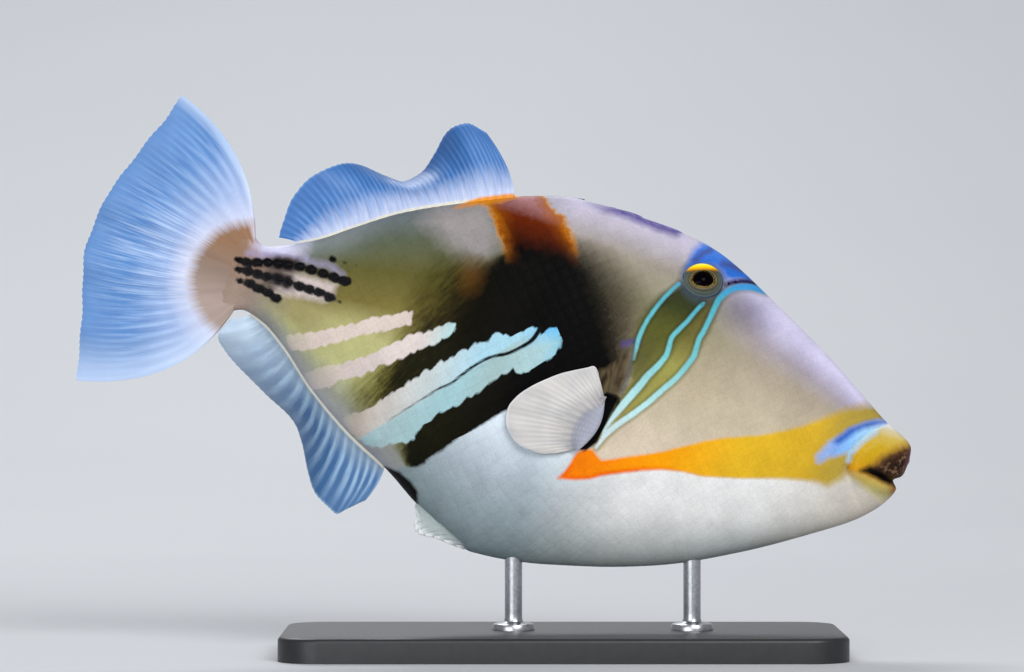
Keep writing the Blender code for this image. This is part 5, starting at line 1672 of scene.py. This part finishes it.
def tail_fin_finish():
    """The tail fin, whose pale rays run out of the fleshy root."""
    f = FinFinish("tail_fin_web", paint(134, 168, 212), paint(78, 126, 184), 120)
    out, across, strands = f.out, f.across, f.strands
    f.fading_root(paint(200, 206, 230), 0.66)
    f.last_coats(paint(98, 138, 190), 0.74, 0.8)
    both_ends = (across.over(0.84, 1.0) + across.over(0.04, 0.0)).over(0, 1)
    f.lay(both_ends * 0.6, paint(204, 218, 240))
    inside = f.attribute("flesh") + (strands - 0.5) * 4
    middle = across.over(0.15, 0.45) * across.over(0.92, 0.6)
    f.lay(middle * strands.over(0.48, 0.62) * out.over(1.0, 0.55) * 0.6, paint(198, 212, 238))
    f.lay(inside.over(-7.5, -0.5) * (strands * 0.6 + 0.4) * (middle * 0.45 + 0.55), paint(212, 208, 220))
    f.lay(inside.edge(1.8), root_flesh(f, f.attribute("height")))
    f.lay(across.over(0.1, 0.03) * inside.over(-2, 2) * 0.8, paint(198, 190, 206))
    return f.made()


# ---------------------------------------------------------------- stand, stage, lights, camera
def rounded_plate(name, x_range, y_range, z_range, corner, rims):
    """A flat plate with round corners and a fine bevelled rim."""
    bpy.ops.mesh.primitive_cube_add(size=1)
    piece = named(name)
    low, high = np.array([x_range, y_range, z_range]).T
    move(piece, (low + (corners(piece) + 0.5) * (high - low)) * MM)
    bevel(piece, lambda one, other: abs(one[2] - other[2]) > 1e-5, corner, 24)
    bevel(piece, lambda one, other: min(one[2], other[2]) > z_range[1] * MM - 1e-6, rims, 6)
    smooth(piece, 35)
    return piece


def bevel(piece, picked, width, segments):
    """Bevels the edges whose two ends are picked."""
    alone(piece)
    bpy.ops.object.mode_set(mode="EDIT")
    bpy.ops.mesh.select_mode(type="EDGE")
    bpy.ops.mesh.select_all(action="DESELECT")
    bpy.ops.object.mode_set(mode="OBJECT")
    co = corners(piece)
    for edge in piece.data.edges:
        edge.select = bool(picked(*co[list(edge.vertices)]))
    bpy.ops.object.mode_set(mode="EDIT")
    bpy.ops.mesh.bevel(offset=width * MM, segments=segments, profile=0.5, affect="EDGES")
    bpy.ops.mesh.select_mode(type="VERT")
    bpy.ops.object.mode_set(mode="OBJECT")


# (radius, height) from the base's top up; the last one's height comes from the belly
ROD_PROFILE = [(6.0, 7.02), (6.0, 8.3), (5.75, 8.75), (5.2, 9.0), (3.4, 9.15), (2.75, 9.5), (2.5, 10.4),
               (2.5, 12), (2.5, 20)]


def stand_rod(name, x, node):
    """A turned rod with a low foot; its top follows the belly, just clear of it."""
    bpy.ops.mesh.primitive_circle_add(vertices=96, radius=1, fill_type="TRIFAN")
    piece = named(name)
    step = (bpy.ops.mesh.extrude_region_move, {"TRANSFORM_OT_translate": {"value": (0, 0, 1)}})
    edit(piece, *[step] * (len(ROD_PROFILE) - 1))
    co = corners(piece)
    radius, z = np.array(ROD_PROFILE)[np.round(co[:, 2]).astype(int)].T
    co[:, 0], co[:, 1] = co[:, 0] * radius + x, co[:, 1] * radius
    top = co[:, 2] > len(ROD_PROFILE) - 1.5
    co[:, 2] = z
    co[top, 2] = [belly_at(*place) - 0.1 for place in co[top, :2]]
    move(piece, co * MM)
    outward(piece)
    smooth(piece, 35)
    dress(piece, ROD_FINISH)
    return done(piece, "stand_rod", node)


def belly_at(x, y):
    """How high the underside of the body is above the floor, at a place on it, in millimetres."""
    station = np.linspace(40, 140, 401)[:, None]
    share = np.linspace(0, 0.35, 141)[None, :]
    points = posed(body.at(station, share)) / MM
    away = np.hypot(points[..., 0] - x, points[..., 1] - abs(y))
    return float(points[..., 2][np.unravel_index(away.argmin(), away.shape)])


CAMERA_AT, CAMERA_LENS = (0.00557, -1.3, 0.091), 159.96  # metres, and millimetres on a 36 mm sensor


def camera():
    """A long lens that looks level at the right side."""
    data = bpy.data.cameras.new("camera")
    data.lens, data.sensor_width = CAMERA_LENS, 36
    data.dof.use_dof = False
    data.clip_start, data.clip_end = 0.01, 20
    piece = bpy.data.objects.new("camera", data)
    bpy.context.scene.collection.objects.link(piece)
    piece.location = CAMERA_AT
    piece.rotation_euler = (math.pi / 2, 0, 0)
    bpy.context.scene.camera = piece


# name, place, target, width and height in metres, power in watts, and colour
LAMPS = [("key_lamp", (0.55, -1.35, 0.95), (0.0, 0, 0.08), (0.9, 0.7), 21, (1, 1, 1)),
         ("fill_lamp", (-0.7, -1.5, 0.28), (0, 0, 0.08), (1.1, 0.5), 9, (0.94, 0.97, 1)),
         ("back_lamp", (-0.3, 1.1, 1.2), (0, 0, 0.1), (1.0, 0.5), 14, (1, 1, 1))]


def lamp(name, place, target, size, power, colour):
    """An area lamp that shines at a target."""
    data = bpy.data.lights.new(name, "AREA")
    data.shape, data.energy, data.color = "RECTANGLE", power, colour
    data.size, data.size_y = size
    piece = bpy.data.objects.new(name, data)
    bpy.context.scene.collection.objects.link(piece)
    piece.location = place
    piece.rotation_euler = (Vector(target) - Vector(place)).to_track_quat("-Z", "Y").to_euler()


FLOOR_FRONT, FLOOR_RUN, FLOOR_HALF = -2.2, 6.0, 2.5  # metres: its front end, its whole run, half its width
FLOOR_BEND, BEND_RADIUS = 0.9, 0.8  # where it starts to curve up, and how wide


def studio_floor():
    """A pale floor that curves up into the backdrop."""
    bpy.ops.mesh.primitive_grid_add(x_subdivisions=8, y_subdivisions=60, size=2)
    floor = named("studio_floor")
    co = corners(floor)
    run = (co[:, 1] + 1) / 2 * FLOOR_RUN + FLOOR_FRONT
    turn = np.clip((run - FLOOR_BEND) / BEND_RADIUS, 0, math.pi / 2)
    upright = np.maximum(run - FLOOR_BEND - BEND_RADIUS * math.pi / 2, 0)
    co[:, 1] = np.minimum(run, FLOOR_BEND) + BEND_RADIUS * np.sin(turn)
    co[:, 2] = BEND_RADIUS * (1 - np.cos(turn)) + upright
    co[:, 0] *= FLOOR_HALF
    move(floor, co)
    edit(floor, (bpy.ops.mesh.normals_make_consistent, {"inside": True}))
    smooth(floor)
    f = Finish("studio_paper", Specular_IOR_Level=0.2)
    at = f.place()
    cloud, grain = f.noise(at, 240, 3), f.noise(at, 1.4, 3)
    colour = f.mix(cloud, paint(196, 199, 203), paint(202, 204, 207))
    f.set(Base_Color=colour, Roughness=grain * 0.1 + 0.7)
    f.bump(grain, 0.03, 0.4)
    dress(floor, f.material)


def even_sky():
    """The same pale light from every side, and plain colours."""
    world = bpy.data.worlds.new("even_sky")
    world.use_nodes = True
    sky = world.node_tree.nodes["Background"].inputs
    sky["Color"].default_value = (0.9, 0.94, 1, 1)
    sky["Strength"].default_value = 0.35
    bpy.context.scene.world = world
    bpy.context.scene.view_settings.view_transform = "Standard"


# ---------------------------------------------------------------- everything in its place
camera()
studio_floor()
for settings in LAMPS:
    lamp(*settings)
even_sky()

SKIN_FINISH = skin_finish("fish_skin", scaled=False)
SCALE_FINISH = skin_finish("fish_scales", scaled=True)
EYE_FINISH, LID_FINISH, FLAP_FINISH = eye_finish(), lid_finish(), flap_finish()
SPINE_FINISH = plain_finish("stalk_spine_horn", paint(5, 4, 7), paint(14, 12, 17), 0.8, 0.5, 0.04,
                            Specular_IOR_Level=0.2)
BACK_SPINE_FINISH = plain_finish("back_spine_skin", paint(84, 74, 140), paint(128, 118, 178), 1.6, 0.4, 0.08)
BASE_FINISH = plain_finish("base_satin_black", paint(26, 26, 28), paint(34, 34, 36), 3.0, 0.36, 0.02)
ROD_FINISH = plain_finish("rod_brushed_steel", paint(160, 162, 166), paint(188, 190, 193), 0.9, 0.24, 0.01,
                          Metallic=1.0)
BACK_FIN_FINISH = edge_fin_finish("back_fin_web", paint(92, 138, 196), paint(54, 104, 166),
                                  paint(200, 206, 228), paint(120, 156, 206), 0.52, 90)
BELLY_FIN_FINISH = edge_fin_finish("belly_fin_web", paint(150, 180, 208), paint(62, 104, 150),
                                   paint(136, 152, 164), paint(160, 190, 214), 0.45, 60, behind=0.8)
TAIL_FINISH, SIDE_FIN_FINISH = tail_fin_finish(), side_fin_finish()


# the fins along the back and the belly: span, then (share of the span, value)
BACK_FIN_SPAN = (129.2, 183.8)
BACK_FIN_LENGTH = [(0, 20.0), (0.1, 23.0), (0.2, 22.3), (0.35, 20.8), (0.52, 19.6), (0.7, 18.7),
                   (0.8, 17.8), (0.88, 14.8), (0.95, 9.6), (1, 6.0)]
BACK_FIN_SWEEP = [(0, 40), (0.1, 37), (0.26, 42), (0.43, 56), (0.52, 49), (0.7, 42), (0.85, 51), (0.95, 68),
                  (1, 88)]
BACK_FIN_LEAN = [(0, 0), (0.14, 6), (0.26, 39), (0.35, 55), (0.43, 58), (0.52, 48), (0.61, 28), (0.7, 10),
                 (0.8, 0), (1, 0)]
BELLY_FIN_SPAN = (143.2, 191.5)
BELLY_FIN_LENGTH = [(0, 11.0), (0.1, 17.0), (0.19, 21.2), (0.3, 21.3), (0.48, 19.8), (0.67, 17.8),
                    (0.8, 16.4), (0.9, 14.3), (0.95, 11.5), (1, 6.0)]
BELLY_FIN_SWEEP = [(0, 12), (0.1, 6), (0.2, 2), (0.38, 7), (0.52, 9), (0.62, 24), (0.76, 43), (0.9, 54),
                   (1, 56)]
BELLY_FIN_LEAN = [(0, 0), (0.28, 8), (0.38, 29), (0.48, 46), (0.57, 53), (0.67, 45), (0.76, 34), (0.86, 18),
                  (0.95, 0), (1, 0)]


def side_fin_root(t, r):
    """How much thicker the side fin is in its fleshy lobe, which is rounded at its front."""
    reach = 0.3 * ease(t, 0.08, 0.4)
    return 2.2 * ease(r, reach + 0.08, 0.02) * np.sqrt(1 - ((0.09 - r).clip(0) / 0.09) ** 2 * 0.98)


def edge_fin_root(t, r):
    """How much thicker a fin along the back or the belly is at its root."""
    return 1.6 * ease(r, 0.2, 0)


def tail_root(t, r):
    """How much thicker the tail fin is where the stalk's flesh runs out into it."""
    return 4.2 * (1 - 0.45 * np.abs(2 * t - 1) ** 6) * np.maximum(0, 1 - r / 0.36) ** 1.5


skin()
for label, side in (("left", 1), ("right", -1)):
    scales(f"scales_front_{label}", side, (0, 78))
    scales(f"scales_rear_{label}", side, (78, 199))
    eye(side, label)
    lids(side, label)
    side_fin = fin(f"side_fin_{label}", side_fin_centre(side), side_fin_root, 156, 60, 14, 1, 0.08)
    web(side_fin, SIDE_FIN_FINISH, f"pectoral_fin_{label}")

back_fin_centre = edge_centre(BACK_FIN_SPAN, back, 1, BACK_FIN_LENGTH, BACK_FIN_SWEEP, BACK_FIN_LEAN)
belly_fin_centre = edge_centre(BELLY_FIN_SPAN, belly, -1, BELLY_FIN_LENGTH, BELLY_FIN_SWEEP, BELLY_FIN_LEAN)
web(fin("back_fin", back_fin_centre, edge_fin_root, 288, 44, 24, 1), BACK_FIN_FINISH, "dorsal_fin")
web(fin("belly_fin", belly_fin_centre, edge_fin_root, 264, 44, 18, 0), BELLY_FIN_FINISH, "anal_fin")
web(fin("tail_fin_web", tail_centre, tail_root, 384, 64, 12, 2), TAIL_FINISH, "tail_fin")

stalk_spines()
gill_scutes()
folded_spines()
flap()

low, high = (np.array(corner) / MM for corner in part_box("stand_base"))
base = rounded_plate("stand_plate", (low[0], high[0]), (low[1], high[1]), (0, 7), 12, 1.2)
dress(base, BASE_FINISH)
done(base, "stand_base", "stand_base")
stand_rod("rod_rear", 6.0, "stand_rod_rear")
stand_rod("rod_front", 57.0, "stand_rod_front")
